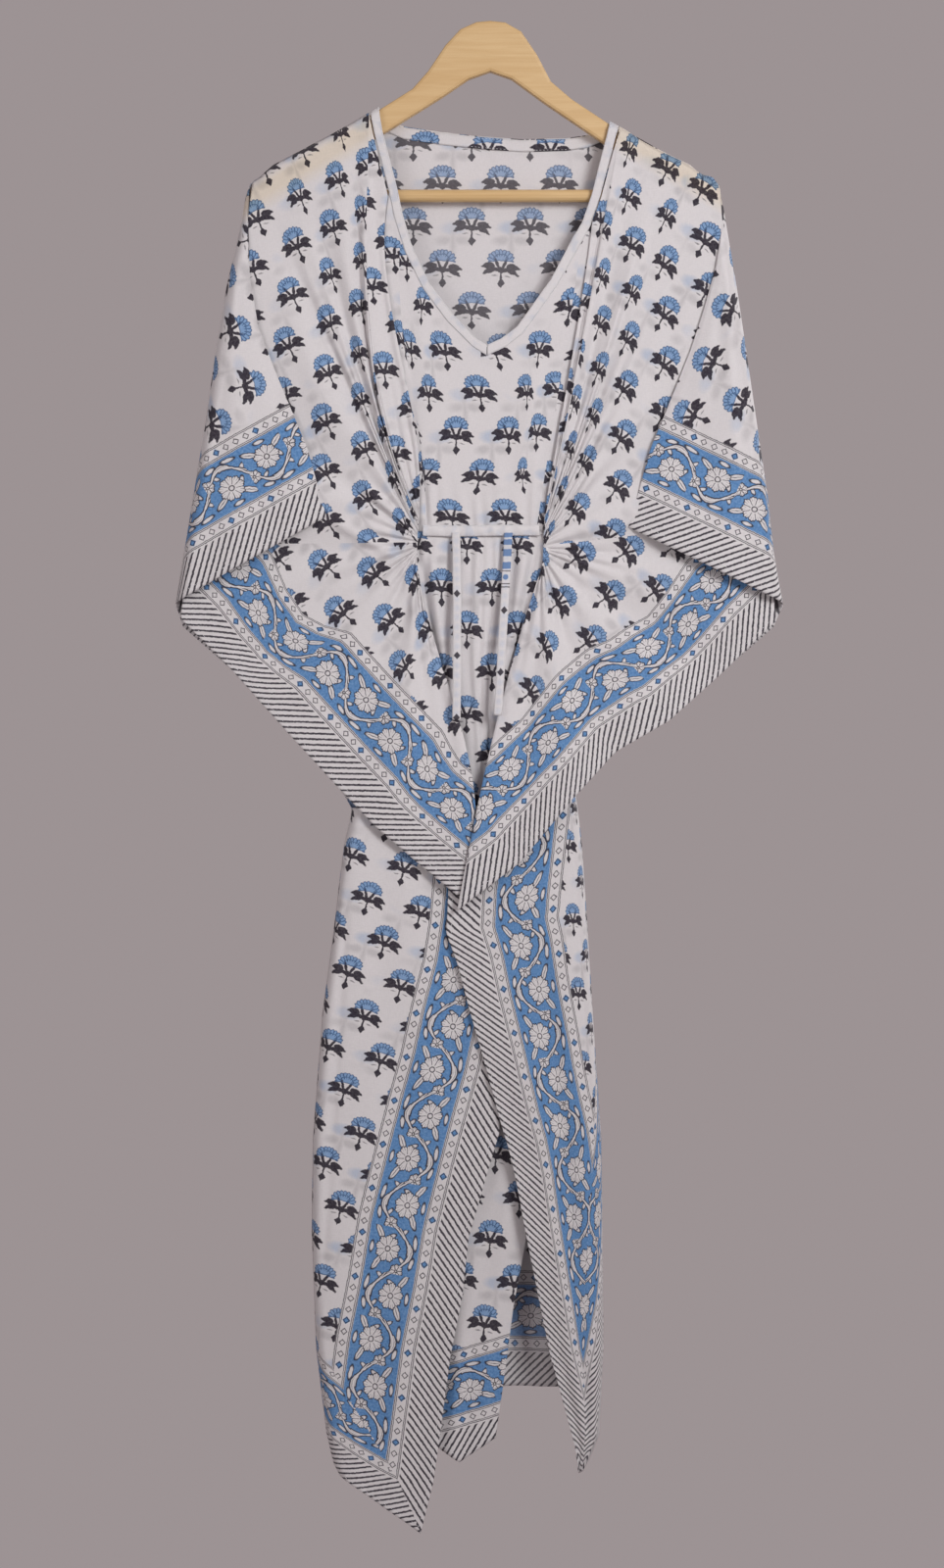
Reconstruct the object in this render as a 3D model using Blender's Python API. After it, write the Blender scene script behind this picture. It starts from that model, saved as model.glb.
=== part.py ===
"""Kaftan dress in border-printed cotton voile, hanging on a flat wooden hanger.

The front and back panels are wide rectangles of cloth. The front one is gathered to a drawstring channel
at the waist, so that its sides fan out from two gathers and end in slanting free edges. The back one
turns forward round the sides, as a sleeve at each shoulder and as a long flap below each elbow.

Sizes are in millimetres and become metres when a mesh is made. X is to the right as seen from the front,
Y is back, Z is up, and the origin is the top of the hanger's crown.
"""

import math

import bmesh
import bpy
import numpy as np

MM = 0.001
WALL = 1.2
TIE_THICKNESS = 1.6
SEAM = 0.4
LOFT_OVER_WOOD = 3.0

HANGER_THICKNESS = 12.0
HANGER_ROUNDING = 3.0
BAR_RADIUS = 6.0
BAR_HEIGHT = -164.0
FOOT_FACE_LEFT = -203.0
FOOT_FACE_RIGHT = 191.0

BODICE_DEPTH = -10.6
FACING_DEPTH = -11.0
FACING_HEIGHT = 11.0
CASING_DEPTH = -13.2
CASING_TOP = -474.0
CASING_FOOT = -484.0
CASING_ENDS = (-63.0, 46.0)
BACK_FACING_ENDS = (-92.0, 98.0)
WAIST = -479.5
GATHER_DEPTH = -14.0
SKIRT_DEPTH = -10.5
BACK_DEPTH = 12.5
FLAP_DEPTH_LEFT = -20.0
FLAP_DEPTH_RIGHT = -25.0
EDGE_MEETING = 0.4
SHOULDER_ROLL = 9.0
SIDE_ROLL = 14.0
TURN = 6.0
TURN_OVER_WOOD = 1.7
BELOW_SHOULDER = 2.0
FLAP_ROLL = 10.0
TIE_WIDTH = 7.5


def table(columns, *rows):
    """A table as a dictionary, with one array for each named column."""
    return dict(zip(columns.split(), np.array(rows, float).T))


HANGER_TOP = table(
    "x z",
    (-214, -149),
    (-201, -137.5),
    (-147, -108.5),
    (-107, -85.5),
    (-73, -64),
    (-58, -47),
    (-42, -23),
    (-28, -8),
    (-13, -1.2),
    (0, 0),
    (14, -1.5),
    (29, -10),
    (44, -32),
    (57, -57),
    (77, -74),
    (111, -96.5),
    (138, -111.5),
    (160, -124),
    (187, -137),
    (202, -150),
)
HANGER_UNDERSIDE = table(
    "x z",
    (FOOT_FACE_LEFT, -153),
    (-150, -134),
    (-98, -105),
    (-45, -72),
    (-20, -55),
    (0, -48),
    (20, -55),
    (50, -77),
    (106, -115),
    (150, -139),
    (FOOT_FACE_RIGHT, -156),
)
# The rounded foot at each arm's end, given outwards from its inner face.
HANGER_FOOT = table("out z", (0, -177), (3, -181), (10, -182), (16, -176), (18, -166), (16.5, -157))

# Both sides of the hanging dress, from the shoulder ends past the elbows to the lowest corners.
SIDES = table(
    "z left right",
    (-150, -224, 211),
    (-165, -229, 217),
    (-190, -233, 221),
    (-250, -247, 231),
    (-310, -257, 240),
    (-385, -268, 251),
    (-445, -278, 260),
    (-500, -287, 266),
    (-549, -295, 275),
    (-568, -289, 267),
    (-612, -239, 217),
    (-657, -199, 167),
    (-686, -172, 117),
    (-721, -141, 79),
    (-740, -129, 82),
    (-775, -137, 86),
    (-850, -146, 91),
    (-932, -157, 96),
    (-1050, -166, 104),
    (-1136, -167, 105),
    (-1245, -163, 106),
    (-1326, -153, 102),
    (-1352, -146, 90),
    (-1366, -139, 82),
)
SIDE_TOP = -152.0
SIDE_FOOT = -1326.0
ELBOW = -549.0
FLAP_TOP = -740.0
# The stretches of the back's sides that turn forward, above the elbow and below the slanting edges.
UPPER_TURN = (-165.0, -541.0)
LOWER_TURN = (-746.0, -1322.0)

# The V neck, from the left shoulder down to its point and up to the right shoulder: its edge, the
# outer line of its facing, and where the bodice's cloth below it meets the waist, with its bend.
NECK = table(
    "x z out_x out_z foot near far",
    (-104, -81, -112, -85.5, 0, 0, 0),
    (-103.8, -84.5, -111.8, -88.5, 0, 0, 0),
    (-103.3, -90, -111.2, -94, 0, 0, 0),
    (-101, -104, -109, -105, 0, 0, 0),
    (-87, -158, -95, -160, -72, 9, -13),
    (-82, -182, -90, -185, -66, 7, -10),
    (-73, -213, -80, -217, -58, 5, -7),
    (-57, -247, -63, -252, -46, 3, -4),
    (-35, -276, -40, -283, -31, 1, -2),
    (-13, -299, -17, -306, -16, 0, 0),
    (-3, -305, -3, -315, -7, 0, 0),
    (10, -299, 14, -307, 3, 0, 0),
    (25, -288, 31, -294, 14, 0, 0),
    (57, -243, 63, -249, 30, 0, 1),
    (77, -205, 85, -210, 42, 0, 1),
    (86, -190, 94, -193, 49, 0, 2),
    (95, -164, 103, -166, 55, 0, 2),
    (109.5, -107, 117.5, -110, 0, 0, 0),
    (111.5, -99, 119.5, -103.5, 0, 0, 0),
    (112, -94, 120, -98.5, 0, 0, 0),
)
NECK_POINT_ROW = 10
BODICE_ROWS = (4, 16)
BELOW_FACING = 1.05
FACINGS_APART = 0.02
BACK_NECK = table(
    "x z",
    (-107, -84),
    (-98, -90),
    (-81, -97),
    (-47, -102),
    (-10, -106),
    (30, -109),
    (71, -108),
    (92, -105),
    (106, -99),
    (113, -96),
)

# The folds that fan out from each gather, in order from the neck over the shoulder, down the side
# and along the slanting edge: where each ends, how it bends near to and far from the gather, how far it
# stands forward, how much of that is left at its end, and the depth of its end.
LEFT_GATHER = table("x z", (-67, -458), (-69, -509))
LEFT_FOLDS = table(
    "x z near far fold edge depth",
    (-95.5, -166, 8, -12, 1.2, 0.5, -12.8),
    (-106, -124, -6, -9, -0.6, 0.2, -12.8),
    (-112.5, -94, -18, -8, 3.0, 0, -13),
    (-113.2, -86, -20, -8, 4.5, 0, -13),
    (-130, -97, -17, -6, -3.0, 0, -13),
    (-152, -109, -13, -4, 3.5, 0, -13),
    (-178, -122, -9, -2, -2.5, 0, -13),
    (-203, -135, -5, 0, 3.0, 0, -12),
    (-221.5, -151, -2, 0, -2.0, 0, -12),
    (-225, -240, 0, 0, 2.0, 0.3, -12),
    (-250, -325, 0, 0, -2.5, 0.3, -12),
    (-266, -420, 0, 0, 3.0, 0.3, -12),
    (-279, -500, 0, 0, -3.0, 0.3, -12),
    (-290, -561, 0, 0, 1.5, 0.4, -13),
    (-241, -610, 0, 0, -3.0, 0.7, -14),
    (-190, -667, 0, 0, 3.0, 0.7, -17),
    (-147, -714, 2, 4, -3.0, 0.7, -23),
    (-107, -756, 3, 9, 3.0, 0.6, -27),
    (-66, -791, 3, 17, -2.5, 0.6, -30),
    (-28, -822, 0, 26, 1.5, 0.5, -32),
)
RIGHT_GATHER = table("x z", (51, -462), (49, -512))
RIGHT_FOLDS = table(
    "x z near far fold edge depth",
    (95.2, -192, 0, 2, 1.2, 0.5, -13),
    (104.3, -165, 0, 2, 0.0, 0.3, -13),
    (111.5, -138, 0, 2, -0.6, 0.2, -13),
    (120, -107, 2, 2, 3.0, 0, -13),
    (121.4, -99, 2, 2, 4.0, 0, -13),
    (140, -113, 3, 2, -3.0, 0, -13),
    (160, -124, 4, 2, 3.5, 0, -13),
    (180, -133, 3, 0, -2.5, 0, -13),
    (200, -146, 2, 0, 2.5, 0, -12),
    (211, -163, 1, 0, -2.0, 0, -12),
    (216.5, -245, 0, 0, 2.0, 0.3, -12),
    (236, -325, 0, 0, -2.5, 0.3, -12),
    (250, -420, 0, 0, 3.0, 0.3, -12),
    (260, -500, 0, 0, -3.0, 0.3, -12),
    (268, -563, 0, 0, 1.5, 0.4, -13),
    (216, -613, 0, 0, -3.0, 0.7, -14),
    (167, -657, 0, 0, 3.0, 0.7, -18),
    (117, -686, -2, -1, -3.0, 0.7, -25),
    (75, -732, -3, -2, 3.0, 0.6, -31),
    (28, -789, -4, -3, -2.5, 0.6, -35),
    (-31, -834, -5, -3, 1.5, 0.5, -37),
)
ROWS_BETWEEN_FOLDS = 3

# Each sleeve from its shoulder down to its cuff: the height on the side of the dress, the crease where
# it lies on the front, and the depth at that crease and at its middle.
LEFT_SLEEVE = table(
    "side_z x z crease middle",
    (-160, -225.7, -158, -4, -6),
    (-200, -226.4, -195, -14, -16),
    (-250, -225, -240, -17, -21),
    (-310, -217, -288, -18, -24),
    (-375, -203, -325, -18, -26),
    (-430, -188, -361, -18, -26),
    (-490, -171, -402, -18, -26),
    (-547, -153, -466, -17.5, -26),
)
RIGHT_SLEEVE = table(
    "side_z x z crease middle",
    (-174, 215.3, -172, -4, -6),
    (-205, 216.5, -198, -14, -16),
    (-250, 211, -232, -17, -21),
    (-310, 200, -272, -18, -24),
    (-375, 187, -311, -18, -26),
    (-430, 171, -351, -18, -26),
    (-490, 150, -402, -18, -26),
    (-547, 129, -476, -17.5, -26),
)
SLEEVE_FOLDS = table("across fold", (0, 0), (0.18, 1.2), (0.38, -1.2), (0.6, 1.5), (0.8, -0.6), (1, 0))

# Each flap from its top, hidden under the slanting edges, down to its hem: the height on the side of the
# dress, and its free edge.
LEFT_FLAP = table(
    "side_z x z",
    (-738, -60, -746),
    (-800, -40, -812),
    (-865, -24, -870),
    (-932, -6, -935),
    (-1000, 8, -1000),
    (-1045, 9, -1040),
    (-1085, -4, -1084),
    (-1136, -20, -1140),
    (-1190, -26, -1195),
    (-1245, -37, -1250),
    (-1298, -45, -1310),
    (-1330, -53, -1368),
    (-1362, -65, -1416),
)
RIGHT_FLAP = table(
    "side_z x z",
    (-724, -32, -752),
    (-780, -39, -815),
    (-850, -41, -855),
    (-885, -30, -886),
    (-932, -20, -925),
    (-979, -7, -970),
    (-1026, 9, -1030),
    (-1057, 17, -1056),
    (-1090, 24, -1086),
    (-1128, 32, -1130),
    (-1198, 46, -1200),
    (-1245, 56, -1250),
    (-1292, 70, -1300),
    (-1326, 79, -1334),
    (-1358, 82.5, -1359),
)
FLAP_FOLDS = table("across fold", (0, 0), (0.2, 1.4), (0.42, -1.2), (0.63, 1.3), (0.82, -1.0), (1, 0.6))

# The front skirt, from the waist down to its hem, and its folds.
SKIRT = table(
    "z left right",
    (WAIST - SEAM, -71, 54),
    (-530, -79, 60),
    (-600, -72, 50),
    (-680, -56, 40),
    (-760, -50, 36),
    (-900, -56, 40),
    (-1042, -62, 43),
    (-1142, -66, 34),
    (-1204, -66, 22),
    (-1258, -66, 15),
    (-1326, -66, 5),
)
SKIRT_FOLDS = table(
    "across fold", (0, 0), (0.14, 1.6), (0.28, -1.4), (0.45, 2.0), (0.62, -1.5), (0.8, 1.7), (1, -0.4)
)
SKIRT_TIP = 25.0
SKIRT_TIP_ACROSS = 0.52
BODICE_FOLDS = table("across fold", (0, 0), (0.2, 0.5), (0.4, -0.5), (0.65, 0.6), (0.85, -0.4), (1, 0))
BACK_FOLDS = table(
    "across fold",
    (0, 0),
    (0.1, 2.4),
    (0.19, -2.2),
    (0.3, 3.0),
    (0.4, -2.4),
    (0.5, 2.0),
    (0.61, -3.0),
    (0.72, 2.8),
    (0.82, -2.0),
    (0.91, 2.2),
    (1, 0),
)
BACK_FOLDS_GROW = (-160.0, -600.0)
BACK_HEM_RISE = 43.0
# Where the back reaches the wood on either side of the neck, and the outer ends of its shoulders.
ON_WOOD_LEFT = (-106.0, -119.0)
ON_WOOD_RIGHT = (114.0, 127.0)
SHOULDER_ENDS = (-216.0, 203.0)
BACK_LEVELS_BETWEEN = (SIDE_TOP, -220, -280, -350, -415, -470, ELBOW + 5, ELBOW - 5, FLAP_TOP + 5,
                       FLAP_TOP - 4, -890, -990, -1090, -1190, -1285)  # fmt: skip
BACK_ACROSS = (0, 0.035, 0.07, 0.12, 0.17, 0.22, 0.27, 0.32, 0.38, 0.44, 0.5,
               0.56, 0.62, 0.68, 0.73, 0.78, 0.83, 0.88, 0.93, 0.965, 1)  # fmt: skip
FOLD_COLUMNS = (0, 0.06, 0.15, 0.27, 0.4, 0.54, 0.68, 0.82, 0.93, 0.972, 0.99, 1)
SLEEVE_COLUMNS = (0, 0.08, 0.22, 0.38, 0.55, 0.72, 0.86, 0.94, 0.98, 1)
FLAP_COLUMNS = (0, 0.012, 0.035, 0.07, 0.16, 0.3, 0.44, 0.58, 0.72, 0.86, 1)

# The drawstring's two ends: the middle line of each, from the channel down.
LEFT_TIE = table(
    "x y z", (-32, -15, -481), (-31.5, -16, -500), (-31, -20, -545), (-31, -26, -605), (-31.5, -29.5, -656)
)
RIGHT_TIE = table("x y z", (17, -15, -481), (16, -16, -500), (13.5, -20.5, -545), (10, -28, -605), (7, -31, -652))
TIE_ROWS = 22

VOILE = ("voile", (0.80, 0.78, 0.79), 0.85)
PLAIN_VOILE = ("plain_voile", (0.86, 0.85, 0.86), 0.85)
WOOD = ("pale_wood", (0.74, 0.55, 0.32), 0.5)


def even(count):
    return np.linspace(0, 1, count)


def shares(start, end, *marks):
    """Where marks lie from start at 0 to end at 1, with both ends and in order."""
    found = {round((mark - start) / (end - start), 6) for mark in marks}
    return [0, *sorted(share for share in found if 0 < share < 1), 1]


def read_row(rows, column, row):
    """A column's value at a row that may lie between two of the table's."""
    values = rows[column]
    return float(np.interp(row, np.arange(len(values)), values))


def read_wave(knots, values, at):
    """A soft wave through the values: level at each knot, and a cosine between two."""
    i = int(np.clip(np.searchsorted(knots, at) - 1, 0, len(knots) - 2))
    part = (at - knots[i]) / (knots[i + 1] - knots[i])
    return values[i] + (values[i + 1] - values[i]) * (1 - math.cos(math.pi * part)) / 2


def read_fold(folds, at):
    return read_wave(folds["across"], folds["fold"], at)


def ease(start, end, value):
    """0 before start and 1 after end, with a soft step between them."""
    part = min(max((value - start) / (end - start), 0), 1)
    return part * part * (3 - 2 * part)


def mix(a, b, part):
    return a + (b - a) * part


def rolled(distance, radius):
    """How much of its depth cloth has at this distance from an edge that it rolls round."""
    left = 1 - min(max(distance / radius, 0), 1)
    return math.sqrt(1 - left * left)


def bend(part, near, far):
    """A sideways bend of a fold, largest at a third and at two thirds of its length."""
    return 6.75 * part * (1 - part) * (near * (1 - part) + far * part)


def shoulder_height(x):
    """The cloth's top line, just over the wood."""
    return float(np.interp(x, HANGER_TOP["x"], HANGER_TOP["z"])) + LOFT_OVER_WOOD


def side(column, z):
    """The left or right side of the dress at a height."""
    return float(np.interp(-z, -SIDES["z"], SIDES[column]))


def over_shoulder(x, z, y):
    """The depth of front cloth near the shoulder, where it rolls over the wood."""
    return min(y * rolled(shoulder_height(x) - z, SHOULDER_ROLL), -EDGE_MEETING)


def neck_facing_point(row, across):
    """A point of the V neck's facing, from its edge at 0 to its outer line at 1."""
    x = mix(read_row(NECK, "x", row), read_row(NECK, "out_x", row), across)
    z = mix(read_row(NECK, "z", row), read_row(NECK, "out_z", row), across)
    return x, over_shoulder(x, z, FACING_DEPTH), z


def facing_half(first, last):
    def place(across, along):
        return neck_facing_point(mix(first, last, along), across)

    return place


def bodice_point(across, along):
    """The middle of the front, from the waist at 0 up to the facing at 1."""
    row = mix(*BODICE_ROWS, across)
    x, _, z = neck_facing_point(row, BELOW_FACING)
    foot = read_row(NECK, "foot", row)
    x = mix(foot, x, along) + bend(along, read_row(NECK, "near", row), read_row(NECK, "far", row))
    z = mix(WAIST + SEAM / 2, z, along)
    return x, BODICE_DEPTH - read_fold(BODICE_FOLDS, across) * ease(1, 0.6, along), z


def fan_point(gather, folds, across, turn):
    """The cloth that fans out from a gather: across from the gather at 0 to its end at 1."""
    row = turn * (len(folds["x"]) - 1)
    start_x = mix(*gather["x"], turn)
    start_z = mix(*gather["z"], turn)
    x = mix(start_x, read_row(folds, "x", row), across)
    x += bend(across, read_row(folds, "near", row), read_row(folds, "far", row))
    z = mix(start_z, read_row(folds, "z", row), across)
    fold = read_wave(np.arange(len(folds["x"])), folds["fold"], row)
    left_at_end = read_row(folds, "edge", row)
    strength = mix(0.24, 1, ease(0, 0.4, across)) * mix(1, left_at_end, ease(0.55, 1, across))
    y = mix(GATHER_DEPTH, read_row(folds, "depth", row), ease(0.05, 1, across)) - fold * strength
    return x, over_shoulder(x, z, y), z


def fan(gather, folds):
    return lambda across, turn: fan_point(gather, folds, across, turn)


def sleeve(rows, column):
    """A sleeve: across from its crease on the front at 0 to the side of the dress at 1."""

    def place(across, along):
        row = along * (len(rows["z"]) - 1)
        side_z = read_row(rows, "side_z", row)
        side_x = side(column, side_z)
        crease_x = read_row(rows, "x", row)
        x = mix(crease_x, side_x, across)
        z = mix(read_row(rows, "z", row), side_z, across)
        y = mix(read_row(rows, "crease", row), read_row(rows, "middle", row), ease(0, 0.45, across))
        y -= read_fold(SLEEVE_FOLDS, across) * ease(0.1, 0.6, along)
        return x, min(y * rolled(abs(side_x - x), SIDE_ROLL), -EDGE_MEETING), z

    return place


def flap(rows, column, depth):
    """A flap: across from the side of the dress at 0 to its free edge at 1."""

    def place(across, along):
        row = along * (len(rows["z"]) - 1)
        side_z = read_row(rows, "side_z", row)
        side_x = side(column, side_z)
        x = mix(side_x, read_row(rows, "x", row), across)
        z = mix(side_z, read_row(rows, "z", row), across)
        y = depth - read_fold(FLAP_FOLDS, across) * ease(0, 0.3, along)
        below_side = ease(SIDE_FOOT, SIDE_FOOT - 20, side_z)
        roll = mix(rolled(abs(x - side_x), FLAP_ROLL), 1, 0.5 * below_side)
        return x, min(y * roll, -EDGE_MEETING), z

    return place


def skirt_point(across, along):
    top, foot = SKIRT["z"][0], SKIRT["z"][-1]
    z = mix(top, foot, along)
    x = mix(np.interp(-z, -SKIRT["z"], SKIRT["left"]), np.interp(-z, -SKIRT["z"], SKIRT["right"]), across)
    y = SKIRT_DEPTH - read_fold(SKIRT_FOLDS, across) * mix(0.35, 1, ease(0, 0.25, along))
    tip = 1 - abs(across - SKIRT_TIP_ACROSS) / SKIRT_TIP_ACROSS
    return float(x), y, z - SKIRT_TIP * max(tip, 0) * ease(0.8, 1, along)


def back_top(x):
    """The top line of the back: over the wood at the shoulders, and low behind the neck."""
    if BACK_NECK["x"][0] < x < BACK_NECK["x"][-1]:
        return float(np.interp(x, BACK_NECK["x"], BACK_NECK["z"]))
    return shoulder_height(x)


def turned(level):
    """1 where the back's sides turn forward, and 0 where they end in the free slanting edges."""
    return 1 - ease(ELBOW + 5, ELBOW - 5, level) * ease(FLAP_TOP - 4, FLAP_TOP + 5, level)


def on_wood(x):
    return max(ease(*ON_WOOD_LEFT, x), ease(*ON_WOOD_RIGHT, x))


def back_point(across, along):
    """The back panel: along is how far down its side a row starts."""
    level = mix(SIDE_TOP, SIDE_FOOT, along)
    inset = (TURN + SEAM) * turned(level)
    x_at_top = mix(side("left", SIDE_TOP), side("right", SIDE_TOP), across)
    x = mix(side("left", level) + inset, side("right", level) - inset, across)
    top = back_top(x_at_top) - (TURN + BELOW_SHOULDER) * on_wood(x_at_top)
    z = level + (top - SIDE_TOP) * (1 - ease(0, 0.3, along))
    z += BACK_HEM_RISE * ease(0, 0.14, across) * ease(1, 0.86, across) * ease(0.85, 1, along)
    return x, BACK_DEPTH + read_fold(BACK_FOLDS, across) * ease(*BACK_FOLDS_GROW, z), z


def quarter(across):
    """A quarter turn from the middle of the dress back to the back panel: how far in, and the depth."""
    angle = math.pi / 2 * across
    return 1 - math.cos(angle), mix(EDGE_MEETING, BACK_DEPTH, math.sin(angle))


def side_turn(column, inwards, levels):
    """A stretch of the back's side that turns forward, from the sleeve or flap at 0 to the back at 1."""

    def place(across, along):
        z = mix(*levels, along)
        share, y = quarter(across)
        return side(column, z) + inwards * TURN * share, y, z

    return place


def shoulder_turn(start, end):
    """A stretch of the back that lies on the wood, from the shoulder's top line at 0 to the back at 1."""

    def place(across, along):
        x = mix(start, end, along)
        share, y = quarter(across)
        return x, y, shoulder_height(x) - mix(TURN_OVER_WOOD, TURN, share)

    return place


def back_facing_point(across, along):
    """The facing inside the back neck: across from its edge at 0 down to its lower line at 1."""
    x = mix(*BACK_FACING_ENDS, along)
    z = back_top(x) - 1 - FACING_HEIGHT * across
    return x, BACK_DEPTH - WALL - SEAM, z


def casing_point(across, along):
    return mix(*CASING_ENDS, along), CASING_DEPTH, mix(CASING_TOP, CASING_FOOT, across)


def tie(route):
    def place(across, along):
        row = along * (len(route["x"]) - 1)
        middle = [read_row(route, column, row) for column in "xyz"]
        return middle[0] + (across - 0.5) * TIE_WIDTH, middle[1], middle[2]

    return place


def material(name, colour, roughness):
    found = bpy.data.materials.get(name)
    if found:
        return found
    made = bpy.data.materials.new(name)
    made.use_nodes = True
    shader = made.node_tree.nodes["Principled BSDF"]
    shader.inputs["Base Color"].default_value = (*colour, 1)
    shader.inputs["Roughness"].default_value = roughness
    return made


def add_object(name, bm, finish, parent):
    bmesh.ops.recalc_face_normals(bm, faces=bm.faces)
    mesh = bpy.data.meshes.new(name)
    bm.to_mesh(mesh)
    bm.free()
    mesh.shade_smooth()
    mesh.materials.append(material(*finish))
    made = bpy.data.objects.new(name, mesh)
    made.parent = parent
    bpy.context.scene.collection.objects.link(made)
    return made


def add_cloth(name, place, across, along, parent, finish=VOILE, thickness=WALL):
    """A wall of cloth: a grid laid through place(across, along) and given its thickness."""
    bm = bmesh.new()
    columns, rows = len(across) - 1, len(along) - 1
    bmesh.ops.create_grid(bm, x_segments=columns, y_segments=rows, size=0.5)
    for vertex in bm.verts:
        column = round((vertex.co.x + 0.5) * columns)
        row = round((vertex.co.y + 0.5) * rows)
        vertex.co = [MM * value for value in place(across[column], along[row])]
    made = add_object(name, bm, finish, parent)
    wall = made.modifiers.new("wall", "SOLIDIFY")
    wall.thickness = thickness * MM
    wall.offset = 0
    return made


def hanger_outline():
    """The hanger's flat outline: its top, one foot, its underside and the other foot."""
    top = [(x, z) for x, z in zip(HANGER_TOP["x"], HANGER_TOP["z"])]
    right_foot = [(FOOT_FACE_RIGHT + out, z) for out, z in zip(HANGER_FOOT["out"], HANGER_FOOT["z"])]
    left_foot = [(FOOT_FACE_LEFT - out, z) for out, z in zip(HANGER_FOOT["out"], HANGER_FOOT["z"])]
    underside = [(x, z) for x, z in zip(HANGER_UNDERSIDE["x"], HANGER_UNDERSIDE["z"])]
    return top + right_foot[::-1] + underside[::-1] + left_foot


def add_hanger_body(parent):
    bm = bmesh.new()
    half = HANGER_THICKNESS / 2
    face = bm.faces.new([bm.verts.new((x * MM, -half * MM, z * MM)) for x, z in hanger_outline()])
    pushed = bmesh.ops.extrude_face_region(bm, geom=[face])["geom"]
    moved = [item for item in pushed if isinstance(item, bmesh.types.BMVert)]
    bmesh.ops.translate(bm, verts=moved, vec=(0, HANGER_THICKNESS * MM, 0))
    made = add_object("hanger_body", bm, WOOD, parent)
    rounding = made.modifiers.new("rounding", "BEVEL")
    rounding.width = HANGER_ROUNDING * MM
    rounding.segments = 2
    rounding.limit_method = "ANGLE"
    rounding.angle_limit = math.radians(60)


def add_hanger_bar(parent):
    length = FOOT_FACE_RIGHT - FOOT_FACE_LEFT - 2 * SEAM
    bm = bmesh.new()
    bmesh.ops.create_cone(
        bm,
        cap_ends=True,
        segments=16,
        radius1=BAR_RADIUS * MM,
        radius2=BAR_RADIUS * MM,
        depth=length * MM,
    )
    made = add_object("hanger_bar", bm, WOOD, parent)
    made.location = ((FOOT_FACE_LEFT + FOOT_FACE_RIGHT) / 2 * MM, 0, BAR_HEIGHT * MM)
    made.rotation_euler = (0, math.radians(90), 0)


def add_dress(parent):
    left_rows = even((len(LEFT_FOLDS["x"]) - 1) * ROWS_BETWEEN_FOLDS + 1)
    right_rows = even((len(RIGHT_FOLDS["x"]) - 1) * ROWS_BETWEEN_FOLDS + 1)
    strip = even(3)
    last_neck_row = len(NECK["x"]) - 1
    left_half = facing_half(0, NECK_POINT_ROW - FACINGS_APART)
    right_half = facing_half(NECK_POINT_ROW + FACINGS_APART, last_neck_row)
    back_rows = shares(SIDE_TOP, SIDE_FOOT, *SIDES["z"], *BACK_LEVELS_BETWEEN)
    left_flap = flap(LEFT_FLAP, "left", FLAP_DEPTH_LEFT)
    right_flap = flap(RIGHT_FLAP, "right", FLAP_DEPTH_RIGHT)

    add_cloth("front_bodice", bodice_point, even(13), even(10), parent)
    add_cloth("front_left", fan(LEFT_GATHER, LEFT_FOLDS), FOLD_COLUMNS, left_rows, parent)
    add_cloth("front_right", fan(RIGHT_GATHER, RIGHT_FOLDS), FOLD_COLUMNS, right_rows, parent)
    add_cloth("front_skirt", skirt_point, even(13), even(20), parent)
    add_cloth("back_panel", back_point, BACK_ACROSS, back_rows, parent)
    upper_rows = shares(*UPPER_TURN, *SIDES["z"], *BACK_LEVELS_BETWEEN)
    lower_rows = shares(*LOWER_TURN, *SIDES["z"], *BACK_LEVELS_BETWEEN)
    turn_columns = even(5)
    for column, inwards in (("left", 1), ("right", -1)):
        upper = side_turn(column, inwards, UPPER_TURN)
        lower = side_turn(column, inwards, LOWER_TURN)
        add_cloth(f"side_turn_upper_{column}", upper, turn_columns, upper_rows, parent)
        add_cloth(f"side_turn_lower_{column}", lower, turn_columns, lower_rows, parent)
    for column, ends in (
        ("left", (SHOULDER_ENDS[0], ON_WOOD_LEFT[1])),
        ("right", (ON_WOOD_RIGHT[1], SHOULDER_ENDS[1])),
    ):
        rows = shares(*ends, *HANGER_TOP["x"])
        add_cloth(f"shoulder_turn_{column}", shoulder_turn(*ends), turn_columns, rows, parent)
    add_cloth("sleeve_left", sleeve(LEFT_SLEEVE, "left"), SLEEVE_COLUMNS, even(13), parent)
    add_cloth("sleeve_right", sleeve(RIGHT_SLEEVE, "right"), SLEEVE_COLUMNS, even(13), parent)
    add_cloth("flap_left", left_flap, FLAP_COLUMNS, even(19), parent)
    add_cloth("flap_right", right_flap, FLAP_COLUMNS, even(19), parent)
    add_cloth("neck_facing_left", left_half, strip, even(21), parent, PLAIN_VOILE)
    add_cloth("neck_facing_right", right_half, strip, even(21), parent, PLAIN_VOILE)
    add_cloth("neck_facing_back", back_facing_point, strip, even(15), parent, PLAIN_VOILE)
    add_cloth("waist_casing", casing_point, strip, even(9), parent, PLAIN_VOILE)
    add_cloth("tie_left", tie(LEFT_TIE), strip, even(TIE_ROWS), parent, PLAIN_VOILE, TIE_THICKNESS)
    add_cloth("tie_right", tie(RIGHT_TIE), strip, even(TIE_ROWS), parent, PLAIN_VOILE, TIE_THICKNESS)


def main():
    for old in list(bpy.data.objects):
        bpy.data.objects.remove(old)
    frame = bpy.data.objects.new("kaftan_on_hanger", None)
    bpy.context.scene.collection.objects.link(frame)
    add_hanger_body(frame)
    add_hanger_bar(frame)
    add_dress(frame)


main()
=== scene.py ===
# %% [markdown]
# # A block-printed kaftan on its hanger
# A kaftan is almost nothing but two wide rectangles of cloth. This one is cotton voile, printed by hand with
# carnations and a blue flower border, gathered to a drawstring at the waist and hung on a flat wooden hanger.
# The measured frame comes first. It could be modelled again here, but loading it keeps every piece of cloth
# exactly where the wood and the seams already are.

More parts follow.
